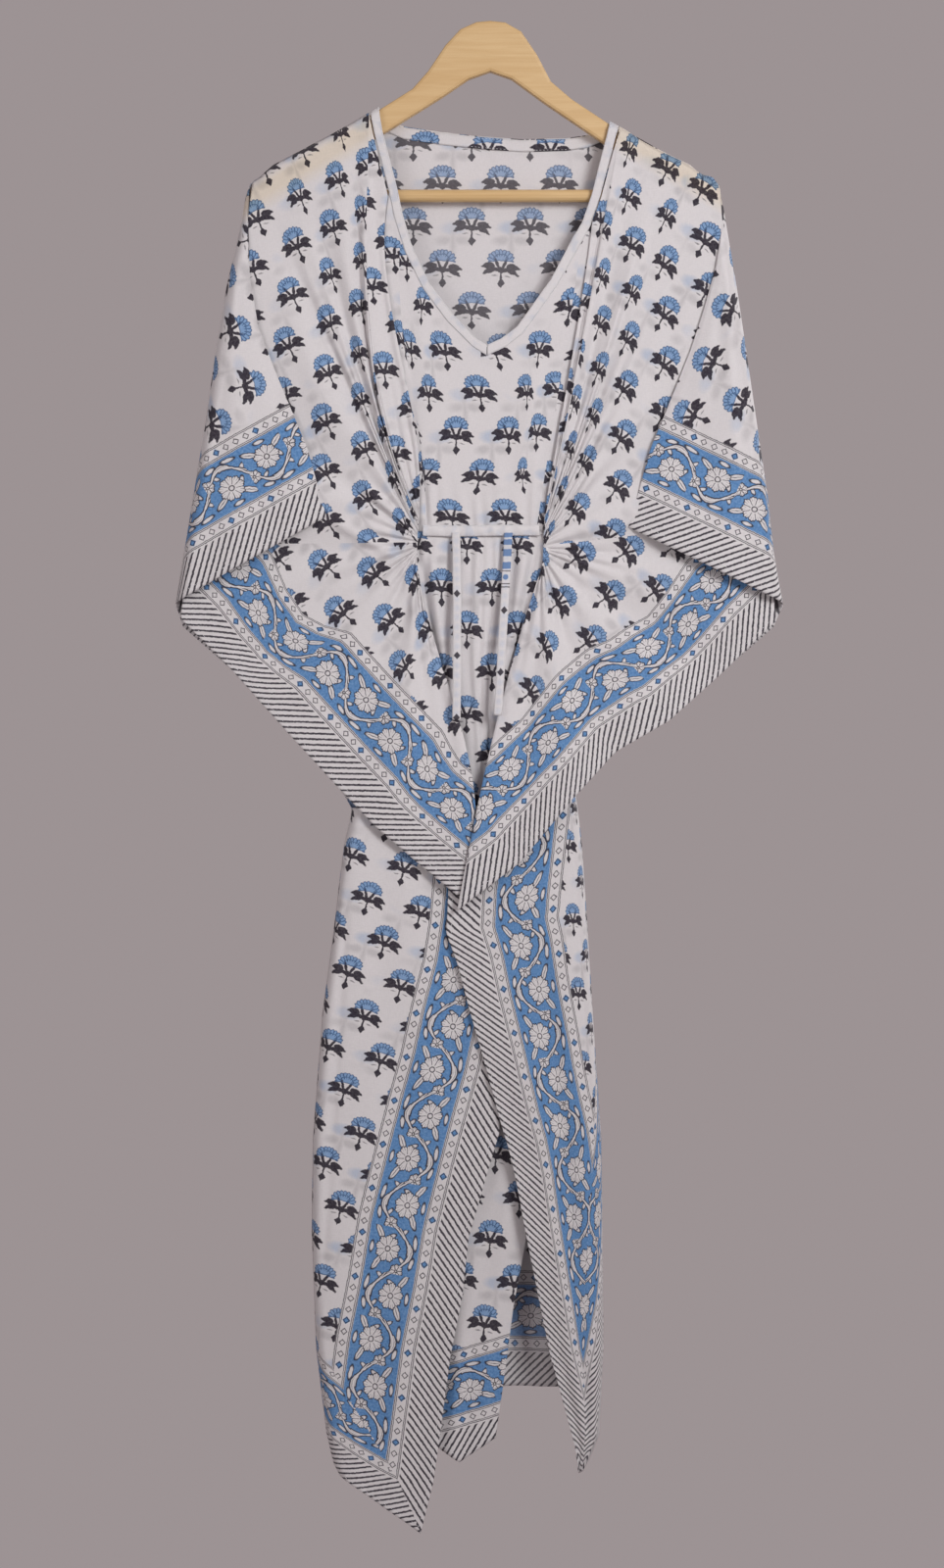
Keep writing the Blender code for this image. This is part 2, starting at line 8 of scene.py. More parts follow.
# %% Load the measured frame
import math
from functools import partialmethod
from types import SimpleNamespace

import bmesh
import bpy
import numpy as np
from mathutils import Matrix, Vector


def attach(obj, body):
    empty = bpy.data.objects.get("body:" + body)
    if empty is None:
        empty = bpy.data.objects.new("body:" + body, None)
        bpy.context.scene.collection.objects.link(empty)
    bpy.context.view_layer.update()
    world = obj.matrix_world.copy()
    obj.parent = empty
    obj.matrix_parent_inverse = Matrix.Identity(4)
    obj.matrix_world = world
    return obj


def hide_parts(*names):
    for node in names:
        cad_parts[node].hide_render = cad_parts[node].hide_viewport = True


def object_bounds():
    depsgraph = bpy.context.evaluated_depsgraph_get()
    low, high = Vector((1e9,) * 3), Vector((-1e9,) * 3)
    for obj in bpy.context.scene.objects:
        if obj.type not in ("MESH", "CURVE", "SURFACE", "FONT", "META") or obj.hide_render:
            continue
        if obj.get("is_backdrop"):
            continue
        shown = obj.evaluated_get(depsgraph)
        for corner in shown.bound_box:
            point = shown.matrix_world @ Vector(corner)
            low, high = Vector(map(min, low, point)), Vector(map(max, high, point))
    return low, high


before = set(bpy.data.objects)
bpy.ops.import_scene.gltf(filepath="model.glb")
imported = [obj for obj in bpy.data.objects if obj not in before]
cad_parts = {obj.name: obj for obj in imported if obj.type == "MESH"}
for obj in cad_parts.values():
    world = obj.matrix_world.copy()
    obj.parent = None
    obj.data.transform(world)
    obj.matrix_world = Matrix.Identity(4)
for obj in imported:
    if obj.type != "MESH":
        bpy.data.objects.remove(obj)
cad_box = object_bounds()
MM = 0.001
print(len(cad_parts), "measured solids, from", *[tuple(round(v, 3) for v in c) for c in cad_box])

# %% [markdown]
# The garment was looked at straight on from a few metres away. A long lens at the same distance keeps its
# outline true, so the camera is aimed at the middle of what shows and its lens is worked out from the height
# that fills the picture.

# %% The camera
SEEN_HEIGHT = 1.472
SEEN_MIDDLE = (-0.017, -0.716)
CAMERA_AWAY = 4.0
SENSOR = 24.0


def add_object(name, data):
    made = bpy.data.objects.new(name, data)
    bpy.context.scene.collection.objects.link(made)
    return made


camera = add_object("view", bpy.data.cameras.new("view"))
camera.data.sensor_fit = "VERTICAL"
camera.data.sensor_height = SENSOR
camera.data.lens = SENSOR * CAMERA_AWAY / SEEN_HEIGHT
camera.location = (SEEN_MIDDLE[0], -CAMERA_AWAY, SEEN_MIDDLE[1])
camera.rotation_euler = (math.pi / 2, 0, 0)
bpy.context.scene.camera = camera
print("lens", round(camera.data.lens, 1), "mm")

# %% [markdown]
# Voile is pale and thin, so hard light would burn it out and flat light would lose the folds. One broad lamp
# on the right shapes the pleats, a weaker one on the left opens their shadows, a third grazes the folds of
# the back, and a grey surround fills in the rest.

# %% Light and floor
SURROUND = (0.335, 0.291, 0.296)
FLOOR_COLOUR = (0.33, 0.29, 0.295)
FLOOR_HEIGHT = -1.74
FLOOR_RADIUS = 1.3


def set_inputs(node, values):
    """Gives each named or numbered input a number, a vector, a colour or another node's output."""
    for name, value in values.items():
        place, value = node.inputs[name], getattr(value, "socket", value)
        if isinstance(value, bpy.types.NodeSocket):
            node.id_data.links.new(value, place)
        else:
            place.default_value = (*value, 1) if place.type == "RGBA" else value


def new_material(name):
    """A material, its tree and its shader."""
    made = bpy.data.materials.new(name)
    made.use_nodes = True
    return made, made.node_tree, made.node_tree.nodes["Principled BSDF"]


def mesh_from(bm, name):
    mesh = bpy.data.meshes.new(name)
    bm.to_mesh(mesh)
    bm.free()
    return mesh


def add_lamp(name, place, aim, size, power, spread=180):
    lamp = add_object(name, bpy.data.lights.new(name, "AREA"))
    lamp.data.shape = "DISK"
    lamp.data.size = size
    lamp.data.energy = power
    lamp.data.spread = math.radians(spread)
    lamp.location = place
    lamp.rotation_euler = (Vector(aim) - Vector(place)).to_track_quat("-Z", "Y").to_euler()


bpy.context.scene.view_settings.view_transform = "Standard"
world = bpy.data.worlds.new("studio")
world.use_nodes = True
set_inputs(world.node_tree.nodes["Background"], {"Color": SURROUND, "Strength": 1.0})
bpy.context.scene.world = world
add_lamp("key", (1.3, -2.3, 0.35), (0.05, 0, -0.52), 1.0, 12.5, spread=95)
add_lamp("fill", (-1.9, -2.3, -0.1), (0, 0, -0.56), 1.4, 5, spread=110)
add_lamp("back", (1.9, 1.9, 0.2), (0, 0, -0.7), 1.1, 34)

bm = bmesh.new()
bmesh.ops.create_circle(bm, cap_ends=True, segments=96, radius=FLOOR_RADIUS)
bmesh.ops.translate(bm, verts=bm.verts, vec=(0, 0, FLOOR_HEIGHT))
floor = add_object("floor", mesh_from(bm, "floor"))
floor_finish, _, floor_shader = new_material("studio_floor")
set_inputs(floor_shader, {"Base Color": FLOOR_COLOUR, "Roughness": 0.9})
floor.data.materials.append(floor_finish)
floor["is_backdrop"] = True
print("the floor lies", -FLOOR_HEIGHT, "m below the hanger's crown")

# %% [markdown]
# Every pattern on this cloth is a sum: how far a point lies from a leaf, a ring or a line. Such sums could be
# typed as Math nodes one by one. A small class that turns Python's own plus and minus into nodes keeps them
# as short as they are on paper.

# %% Sums in a material


def add_node(tree, kind, values, **settings):
    node = tree.nodes.new(kind)
    for name, value in settings.items():
        setattr(node, name, value)
    set_inputs(node, values)
    return node


class Number:
    """A number inside a material, in which sums are written as sums."""

    def __init__(self, socket):
        self.socket = socket
        self.tree = socket.id_data

    def math(self, operation, *others, clamp=False):
        values = dict(enumerate((self, *others)))
        node = add_node(self.tree, "ShaderNodeMath", values, operation=operation, use_clamp=clamp)
        return Number(node.outputs[0])

    __add__ = partialmethod(math, "ADD")
    __sub__ = partialmethod(math, "SUBTRACT")
    __mul__ = partialmethod(math, "MULTIPLY")
    __truediv__ = partialmethod(math, "DIVIDE")
    __mod__ = partialmethod(math, "FLOORED_MODULO")
    __abs__ = partialmethod(math, "ABSOLUTE")
    scaled = partialmethod(math, "MULTIPLY_ADD")
    either = partialmethod(math, "MAXIMUM")
    both = partialmethod(math, "MINIMUM")

    def limited(self, low, high):
        return self.either(low).both(high)

    def ink(self, soft=0.3):
        """1 where the number is above zero and 0 below it, over a soft edge in millimetres."""
        return self.math("MULTIPLY_ADD", 0.5 / soft, 0.5, clamp=True)


def vector_node(operation, *values):
    """A Vector Math node. The first value is a socket, and the others may be sockets or vectors."""
    return add_node(values[0].id_data, "ShaderNodeVectorMath", dict(enumerate(values)), operation=operation)


def scaled_vector(vector, factor):
    node = vector_node("SCALE", vector)
    set_inputs(node, {"Scale": factor})
    return node.outputs[0]


def split(point):
    return [Number(out) for out in add_node(point.id_data, "ShaderNodeSeparateXYZ", {0: point}).outputs]


def join(x, y):
    return add_node(x.tree, "ShaderNodeCombineXYZ", {0: x, 1: y}).outputs[0]


def blob(point, middle, radii, angle=0):
    """How deep a point lies inside an ellipse, in millimetres: below zero outside it."""
    turn = (0, 0, math.radians(angle))
    values = {"Vector": point, "Location": (*middle, 0), "Rotation": turn, "Scale": (*radii, 1)}
    local = add_node(point.id_data, "ShaderNodeMapping", values, vector_type="TEXTURE").outputs[0]
    length = vector_node("LENGTH", local).outputs["Value"]
    return Number(length).scaled(-min(radii), min(radii))


def blobs(point, ellipses):
    """How deep a point lies inside the nearest of some ellipses: middle, radii and angle of each."""
    nearest, *others = [blob(point, *ellipse) for ellipse in ellipses]
    for other in others:
        nearest = nearest.either(other)
    return nearest


def object_place(tree):
    return add_node(tree, "ShaderNodeTexCoord", {}).outputs["Object"]


def noise(vector, scale, detail=2, distortion=0):
    values = {"Vector": vector, "Scale": scale, "Detail": detail, "Distortion": distortion}
    return add_node(vector.id_data, "ShaderNodeTexNoise", values)


def grain(*settings, **more):
    return Number(noise(*settings, **more).outputs["Fac"])


def bump(height, strength, distance):
    values = {"Height": height, "Strength": strength, "Distance": distance}
    return add_node(height.tree, "ShaderNodeBump", values).outputs[0]


def between(colour, other, share):
    """A colour that lies a share of the way from one to another."""
    return tuple((1 - share) * a + share * b for a, b in zip(colour, other))


def paint(base, colour, share, blend="MIX"):
    """One colour over another, where share is 1."""
    values = {0: share, 6: base, 7: colour}
    return add_node(share.tree, "ShaderNodeMix", values, data_type="RGBA", blend_type=blend).outputs[2]


# %% [markdown]
# A block printer stamps each carnation by hand, so no two edges are alike. A clean curve would look like a
# screen print. Shifting every point a little with noise before anything is drawn gives the wobble of a
# carved block to all the shapes at once.

# %% The cloth's own millimetres
GROUND = (0.80, 0.775, 0.785)
BLUE = (0.085, 0.225, 0.50)
PALE_BLUE = (0.20, 0.385, 0.66)
HEAD_BLUE = (0.30, 0.455, 0.69)
DARK = (0.022, 0.015, 0.030)
INKS = (GROUND, BLUE, PALE_BLUE, HEAD_BLUE, DARK)
BLOCK_WOBBLE = 1.1
WOBBLE_SCALE = 0.32


def cloth_point(tree, uv_name, wobble=BLOCK_WOBBLE):
    """A point of the cloth in millimetres, shaken a little."""
    flat = scaled_vector(add_node(tree, "ShaderNodeUVMap", {}, uv_map=uv_name).outputs[0], 1000)
    shake = vector_node("SUBTRACT", noise(flat, WOBBLE_SCALE).outputs["Color"], (0.5, 0.5, 0.5))
    return vector_node("MULTIPLY_ADD", shake.outputs[0], (wobble * 2,) * 3, flat).outputs[0]


# %% [markdown]
# The carnation has a scalloped blue head, two dark stems in a V, a pair of lobed leaves and a bud below. It
# repeats in a half drop: each row is moved sideways by half a repeat. Folding a point into one cell, and then
# taking the absolute of its sideways part, draws half of one flower and gets the whole field.

# %% The carnation
COLUMN = 52.8
ROW = 39.6
SPRIG_RISE = 1.1
SPRIG_SCALE = 0.87
HEAD_RISE = 13.0
LEAVES_ASKEW = 0.09
SCALLOPS = 11
HEAD_MIDDLE = (0, 12.5)
HEAD_RADII = (13.0, 9.4)
HEAD_FOOT = 10.6
FOOT_CURVE = 0.011
PETALS_MEET = 7.0
INK_SPREAD = 0.35
TENDRIL = ((6.9, -6.2), (2.8, 0.7), -8)
STEMS_AND_LEAVES = (
    ((3.4, 6.0), (5.9, 1.25), 67),
    ((0, 0.4), (3.4, 3.1)),
    ((5.5, 0.6), (4.8, 1.9), 6),
    ((12.0, 4.0), (5.6, 3.5), -4),
    ((16.8, 3.7), (3.0, 1.3), -20),
    ((11.4, -0.9), (5.6, 2.4), -20),
    ((15.6, -3.2), (2.9, 1.2), -36),
    ((0, -6.2), (0.7, 4.4)),
)


def half_drop(point, shift=(0, 0)):
    """Where a point lies in its own cell of the half drop, counted from the sprig's middle."""
    u, v, _ = split(point)
    row = v.scaled(1 / ROW, 0.5 + shift[1] / ROW).math("FLOOR")
    q = v.scaled(1, shift[1]) - row * ROW
    turn = u.scaled(1 / COLUMN, 0.5 + shift[0] / COLUMN) + (row % 2) * 0.5
    p = turn.math("FRACT").scaled(COLUMN, -COLUMN / 2)
    return p / SPRIG_SCALE, (q + SPRIG_RISE) / SPRIG_SCALE


def carnation(point):
    """Where the sprig is blue, where it is dark, and where the fine lines of the head run."""
    p, q = half_drop(point)
    half = abs(p)
    place = join(half, q)
    petal = abs(((q - PETALS_MEET).math("ARCTAN2", half) * SCALLOPS).math("SINE"))
    dome = blob(place, HEAD_MIDDLE, HEAD_RADII) + petal.scaled(1.1, -0.5)
    head = dome.both(q + (half * half) * FOOT_CURVE - HEAD_FOOT)
    ribs = petal.scaled(-1.3, 0.56).both(abs(dome - 3.0).scaled(-1, 3.0))
    arc = abs(dome - 4.6).scaled(-1, 0.42)
    rim = abs(head).scaled(-1, 0.5)
    lines = ribs.either(arc).either(rim).both(head + 0.4)
    place = join(half, q + p * LEAVES_ASKEW)
    bud = abs(q + 13.8).scaled(-0.66, 3.2) - half * 0.85
    dark = blobs(place, STEMS_AND_LEAVES).either(bud) + INK_SPREAD
    tendril = blob(place, *TENDRIL).ink() * 0.6
    return head.ink(), dark.ink().either(tendril), lines.ink()


print("one carnation in every", COLUMN, "by", ROW, "millimetres")

# %% [markdown]
# The border has four bands, counted from the raw edge inwards: slanting stripes, a chain of diamonds, the
# broad blue band with its white flowers, and the same chain again. Flowers lean to one side and then to the
# other along the band. Turning every second stretch over, as a mirror would, lets one flower and one stem do.

# %% The border's bands
STRIPES = 33.0
CHAIN = 14.0
BLUE_BAND = 48.0
BORDER = STRIPES + CHAIN + BLUE_BAND + CHAIN
STRIPE_STEP = 7.3
RING_STEP = 10.5
FLOWER_STEP = 43.0
INNER_CHAIN_SHIFT = 19


def line(at, away, width):
    """A thin line where away is near at."""
    return abs(away - at).scaled(-1, width / 2)


def repeat(along, step):
    return (along / step).math("FRACT").scaled(step, -step / 2)


def chain(depth, along, start):
    """A chain of small diamonds between thin lines: where it is dark, and where one is filled with blue."""
    sideways = abs(depth - (start + CHAIN / 2))
    away = (abs(repeat(along, RING_STEP)) + sideways) * 0.82
    fourth = (along / (RING_STEP * 4)).math("FRACT") - 0.75
    lines = line(CHAIN / 2 - 0.8, sideways, 0.75).either(line(CHAIN / 2 - 2.3, sideways, 0.65))
    ring = line(2.3, away, 0.9)
    return lines.either(ring), away.scaled(-1, 3.1).both(fourth * 40)


def blossom(point, middle, size, petals):
    """A frilled flower: how deep a point lies in it, and its inner lines."""
    local = vector_node("SUBTRACT", point, (*middle, 0)).outputs[0]
    x, y, _ = split(local)
    away = Number(vector_node("LENGTH", local).outputs["Value"])
    turn = y.math("ARCTAN2", x)
    petal = abs((turn * (petals / 2)).math("SINE"))
    frill = abs((turn * (petals * 1.5)).math("SINE"))
    inside = (petal.scaled(0.18 * size, size * 0.78) + frill * (0.09 * size)) - away
    rays = (petal * away).scaled(-0.45, 0.62).both(line(size * 0.62, away, size * 0.56))
    notches = (frill * away).scaled(-0.2, 0.3).both(line(size * 0.8, away, size * 0.24))
    eye = line(size * 0.2, away, 1.1)
    return inside, rays.either(notches).either(eye)


def strand(across, swing, reach, shift, width):
    """A stem that swings across the band."""
    return abs(across + swing * reach + shift).scaled(-0.85, width / 2)


BAND_LEAVES = (
    ((6.0, 15.5), (8.4, 2.9), -33),
    ((35.0, 15.0), (8.2, 2.8), 28),
    ((8.5, 3.0), (4.4, 2.0), 62),
    ((11.5, -21.5), (7.0, 2.2), -8),
    ((31.0, -20.5), (5.6, 2.2), 14),
    ((29.5, -10.5), (4.2, 1.9), -40),
    ((21.0, 22.3), (5.4, 2.1), 4),
    ((3.0, -9.0), (4.4, 2.0), 50),
)
BAND_MIDRIBS = (((6.0, 15.5), (5.5, 0.35), -33), ((35.0, 15.0), (5.5, 0.35), 28))
BIG_FLOWER = ((20.5, 5.5), 12.4, 9)
SMALL_FLOWER = ((40.0, -6.5), 6.6, 7)
MAIN_STEM = (17.5, 0, 3.0)
FIRST_BRANCH = (12.0, 3.8, 2.3)
SECOND_BRANCH = (22.0, -2.4, 2.3)


def flower_band(depth, along):
    """The blue band's white shapes and its dark lines."""
    half_turn = (along / FLOWER_STEP).math("FLOOR") % 2
    side = half_turn.scaled(-2, 1)
    across = (depth - (STRIPES + CHAIN + BLUE_BAND / 2)) * side * 1.1
    step = (along / FLOWER_STEP).math("FRACT") * FLOWER_STEP
    place = join(step, across)
    flower, lines = blossom(place, *BIG_FLOWER)
    small, small_lines = blossom(place, *SMALL_FLOWER)
    swing = (step * (math.pi / FLOWER_STEP)).math("SINE")
    stems = strand(across, swing, *MAIN_STEM)
    stems = stems.either(strand(across, swing, *FIRST_BRANCH).both(step.scaled(-1, 24)))
    stems = stems.either(strand(across, swing, *SECOND_BRANCH).both(step - 13))
    leaves = blobs(place, BAND_LEAVES)
    midribs = blobs(place, BAND_MIDRIBS)
    others = flower.either(small).either(stems)
    dark = line(0, others, 1.25).either(line(0, leaves, 0.85).both(others.scaled(-1, 0)))
    dark = dark.either(lines.both(flower)).either(small_lines.both(small)).either(midribs)
    return others.either(leaves), dark


print("the border is", BORDER, "millimetres wide")

# %% [markdown]
# Each piece of cloth carries two sets of flat coordinates. One says where a point lies in the field of
# carnations, and the other how far it is from the raw edge and how far along it. The pattern follows the
# cloth that way, however it hangs, and no picture is needed.

# %% The whole print
FIELD_UV = "field"
BORDER_UV = "border"
GHOST_SHIFT = (17.0, 12.0)
GHOST_LEAVES = (((10, 0.5), (8.5, 4.5), -8), ((0, -3), (2.5, 14)))


def ghost(point):
    """The cloth behind shows through as faint, blurred sprigs."""
    p, q = half_drop(point, GHOST_SHIFT)
    place = join(abs(p), q)
    return blob(place, (0, 14.5), (12.5, 6.5)).ink(2.4), blobs(place, GHOST_LEAVES).ink(2.2)


def build_print(tree, ground, blue, pale_blue, head_blue, dark):
    """The printed colour of the cloth, as a socket."""
    point = cloth_point(tree, FIELD_UV)
    head, leaves, lines = carnation(point)
    ghost_head, ghost_leaves = ghost(point)
    doubled = grain(point, 0.016, 0).scaled(5.0, -1.9).limited(0.0, 1.0)
    colour = paint(ground, between(ground, pale_blue, 0.36), ghost_head * doubled)
    colour = paint(colour, between(ground, dark, 0.20), ghost_leaves * doubled)
    patchy = grain(point, 0.45, 3).scaled(2.4, -0.7).limited(0.0, 1.0)
    mixed_blue = paint(blue, pale_blue, patchy)
    colour = paint(colour, paint(head_blue, blue, patchy * 0.3), head)
    colour = paint(colour, dark, leaves * patchy.scaled(0.07, 0.92))
    colour = paint(colour, between(blue, dark, 0.5), lines * 0.92)

    depth, along, _ = split(cloth_point(tree, BORDER_UV, wobble=0.7))
    stripe = abs(repeat(along + depth, STRIPE_STEP)).scaled(-1, 1.3).both(depth.scaled(-1, STRIPES - 1))
    first_lines, first_fill = chain(depth, along, STRIPES)
    inner = STRIPES + CHAIN + BLUE_BAND
    last_lines, last_fill = chain(depth, along + INNER_CHAIN_SHIFT, inner)
    white, flower_lines = flower_band(depth, along)
    in_band = (depth - (STRIPES + CHAIN)).both(depth.scaled(-1, inner))
    border = paint(ground, mixed_blue, in_band.ink())
    border = paint(border, ground, white.both(in_band).ink())
    border = paint(border, mixed_blue, first_fill.either(last_fill).ink())
    thin = stripe.either(first_lines).either(last_lines).either(flower_lines.both(in_band))
    border = paint(border, dark, thin.ink() * patchy.scaled(0.10, 0.88))
    return paint(border, colour, (depth - (BORDER - 0.4)).ink())


# %% [markdown]
# Voile is a plain weave of fine yarn, dull rather than shiny, with slubs where a thread runs thick. The weave
# could be modelled, but at arm's length it is only a faint grain, so it goes into the bump. A little light
# passes through the cloth, which a Translucent shader mixed in behind the plain one gives.

# %% The cloth's surface
ROUGHNESS = 0.82
LIGHT_THROUGH = 0.18
WEFT_AND_WARP = ((260, 260, 1500), (1500, 260, 260))


def cloth_material(name, make_colour):
    made, tree, shader = new_material(name)
    colour = make_colour(tree)
    place = object_place(tree)
    weft, warp = [grain(vector_node("MULTIPLY", place, yarn).outputs[0], 1.0, 1) for yarn in WEFT_AND_WARP]
    weave = weft + warp
    toned = scaled_vector(colour, weave.scaled(0.10, 0.90))
    surface = {
        "Base Color": toned,
        "Normal": bump(weave, 0.35, 0.0004),
        "Roughness": weave.scaled(0.12, ROUGHNESS - 0.12),
        "Specular IOR Level": 0.25,
        "Sheen Weight": 0.08,
        "Sheen Roughness": 0.5,
    }
    set_inputs(shader, surface)
    back_light = add_node(tree, "ShaderNodeBsdfTranslucent", {"Color": toned})
    shares = {0: LIGHT_THROUGH, 1: shader.outputs[0], 2: back_light.outputs[0]}
    mixed = add_node(tree, "ShaderNodeMixShader", shares)
    set_inputs(tree.nodes["Material Output"], {"Surface": mixed.outputs[0]})
    return made


ARM_TOP = -83.0
ARM_SLOPE = 0.59
ARM_START = 104.0
ARM_EDGE = 3
ARM_HEIGHT = 27
WOOD_TINT = (1.0, 0.93, 0.79)
FADED = (0.62, 0.60, 0.62)
INSIDE_FADES = (0.15, 0.15, 0.2, 0.3, 0.15)


def over_wood(tree, colour):
    """The pale wood of the hanger's arms glows through the cloth that lies on it."""
    out, _, up = split(scaled_vector(object_place(tree), 1000))
    past_bend = abs(out) - ARM_START
    below = past_bend.scaled(-ARM_SLOPE, ARM_TOP) - up
    share = (below - ARM_EDGE).ink(5) * below.scaled(-1, ARM_HEIGHT).ink(8) * past_bend.ink(14)
    return paint(colour, WOOD_TINT, share, "MULTIPLY")


inside_inks = [between(ink, FADED, share) for ink, share in zip(INKS, INSIDE_FADES)]
printed = cloth_material("printed_voile", lambda tree: over_wood(tree, build_print(tree, *INKS)))
inside = cloth_material("printed_voile_inside", lambda tree: build_print(tree, *inside_inks))
print("print nodes", len(printed.node_tree.nodes))

# %% [markdown]
# The facings, the drawstring and its channel are cut from plain voile. Where they lie on the print it shows
# through as a faint grey, and the string carries a few stray dots. Blurred noise is enough for the first, and
# a row of small spots along the string for the second.

# %% Plain voile
PLAIN = (0.81, 0.79, 0.80)
SHADE_THROUGH = (0.60, 0.64, 0.73)
THREAD = (0.86, 0.86, 0.87)
THREAD_SHADE = (0.74, 0.74, 0.77)


def plain_colour(tree):
    shade = grain(object_place(tree), 85, 1).scaled(3.2, -1.6)
    return paint(PLAIN, SHADE_THROUGH, shade.limited(0.0, 0.55))


def thread_colour(tree):
    return paint(THREAD, THREAD_SHADE, grain(object_place(tree), 400))


plain = cloth_material("plain_voile", plain_colour)
thread = cloth_material("thread", thread_colour)
print("plain cloth nodes", len(plain.node_tree.nodes))

# %% [markdown]
# The hanger is flat-sawn pale wood under satin varnish. Its grain runs along each arm as long, slightly wavy
# streaks. Rings cut from a log would be truer inside a block, but on a flat board stretched noise gives the
# same streaks at a fraction of the cost.

# %% Pale wood
PALE_WOOD = (0.71, 0.50, 0.255)
BROAD_STREAK = (0.60, 0.385, 0.165)
FINE_STREAK = (0.52, 0.32, 0.13)
GRAINS = (((9, 60, 150), 3), ((28, 260, 700), 2))


def wood_material(name):
    made, tree, shader = new_material(name)
    place = object_place(tree)
    broad, fine = [
        grain(vector_node("MULTIPLY", place, stretch).outputs[0], 1.0, detail, distortion=0.6)
        for stretch, detail in GRAINS
    ]
    broad = broad.scaled(2.2, -0.6).limited(0.0, 1.0)
    fine = fine.scaled(2.6, -0.9).limited(0.0, 1.0)
    colour = paint(paint(PALE_WOOD, BROAD_STREAK, broad * 0.8), FINE_STREAK, fine * 0.28)
    surface = {
        "Base Color": colour,
        "Normal": bump(fine, 0.12, 0.0003),
        "Roughness": broad.scaled(0.12, 0.36),
        "Coat Weight": 0.18,
        "Coat Roughness": 0.4,
    }
    set_inputs(shader, surface)
    return made


wood = wood_material("pale_wood")
for name in ("hanger_body", "hanger_bar"):
    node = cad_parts[name]
    node.data.materials.clear()
    node.data.materials.append(wood)
    for face in node.data.polygons:
        face.material_index = 0
print("wood nodes", len(wood.node_tree.nodes))

# %% [markdown]
# The same few driving tables shape this cloth and the solids under it, so the two can't drift apart. They
# hold the hanger's top line, the dress's two sides, the neck, the folds that fan out from each gather, and
# the sleeves and flaps. All are in millimetres, and each is listed from the top down or round the dress.

# %% Outline of the dress
WALL = 0.9
SIDE_ROLL = 14.0
SHOULDER_ROLL = 9.0
FLAP_ROLL = 10.0
EDGE_MEETING = 0.2
LOFT_OVER_WOOD = 3.0


def table(columns, *rows):
    """A table as a dictionary, with one array for each named column."""
    return dict(zip(columns.split(), np.array(rows, float).T))


HANGER_TOP = table(
    "x z",
    (-230, -158), (-214, -149), (-201, -137.5), (-147, -108.5), (-107, -85.5), (-73, -64), (-58, -47),
    (57, -57), (77, -74), (111, -96.5), (138, -111.5), (160, -124), (187, -137), (202, -150), (215, -160),
)
SIDES = table(
    "z left right",
    (-150, -224, 211), (-165, -229, 217), (-190, -233, 221), (-250, -247, 231), (-310, -257, 240),
    (-385, -268, 251), (-445, -278, 260), (-500, -287, 266), (-549, -295, 275), (-568, -289, 267),
    (-612, -239, 217), (-657, -199, 167), (-686, -172, 117), (-721, -141, 79), (-740, -129, 82),
    (-775, -137, 86), (-850, -146, 91), (-932, -157, 96), (-1050, -166, 104), (-1136, -167, 105),
    (-1245, -163, 106), (-1326, -153, 102), (-1352, -146, 90), (-1366, -139, 82),
)
SIDE_TOP = -152.0
SIDE_FOOT = -1326.0
ELBOW = -549.0
FLAP_TOP = -740.0
print("widest at the elbows:", max(SIDES["right"] - SIDES["left"]), "millimetres")

# %% Neck
FACING_DEPTH = -11.0
NECK = table(
    "x z out_x out_z foot near far",
    (-104, -81, -112, -85.5, 0, 0, 0),
    (-103.8, -84.5, -111.8, -88.5, 0, 0, 0),
    (-103.3, -90, -111.2, -94, 0, 0, 0),
    (-101, -104, -109, -105, 0, 0, 0),
    (-87, -158, -95, -160, -72, 9, -13),
    (-82, -182, -90, -185, -66, 7, -10),
    (-73, -213, -80, -217, -58, 5, -7),
    (-57, -247, -63, -252, -46, 3, -4),
    (-35, -276, -40, -283, -31, 1, -2),
    (-13, -299, -17, -306, -16, 0, 0),
    (-3, -305, -3, -315, -7, 0, 0),
    (10, -299, 14, -307, 3, 0, 0),
    (25, -288, 31, -294, 14, 0, 0),
    (57, -243, 63, -249, 30, 0, 1),
    (77, -205, 85, -210, 42, 0, 1),
    (86, -190, 94, -193, 49, 0, 2),
    (95, -164, 103, -166, 55, 0, 2),
    (109.5, -107, 117.5, -110, 0, 0, 0),
    (111.5, -99, 119.5, -103.5, 0, 0, 0),
    (112, -94, 120, -98.5, 0, 0, 0),
)
NECK_POINT_ROW = 10
BODICE_ROWS = (4, 16)
BACK_NECK = table(
    "x z",
    (-107, -84), (-98, -90), (-81, -97), (-47, -102), (-10, -106), (30, -109), (71, -108), (92, -105),
    (106, -99), (113, -96),
)
print("the V is", NECK["z"][0] - NECK["z"][NECK_POINT_ROW], "millimetres deep")

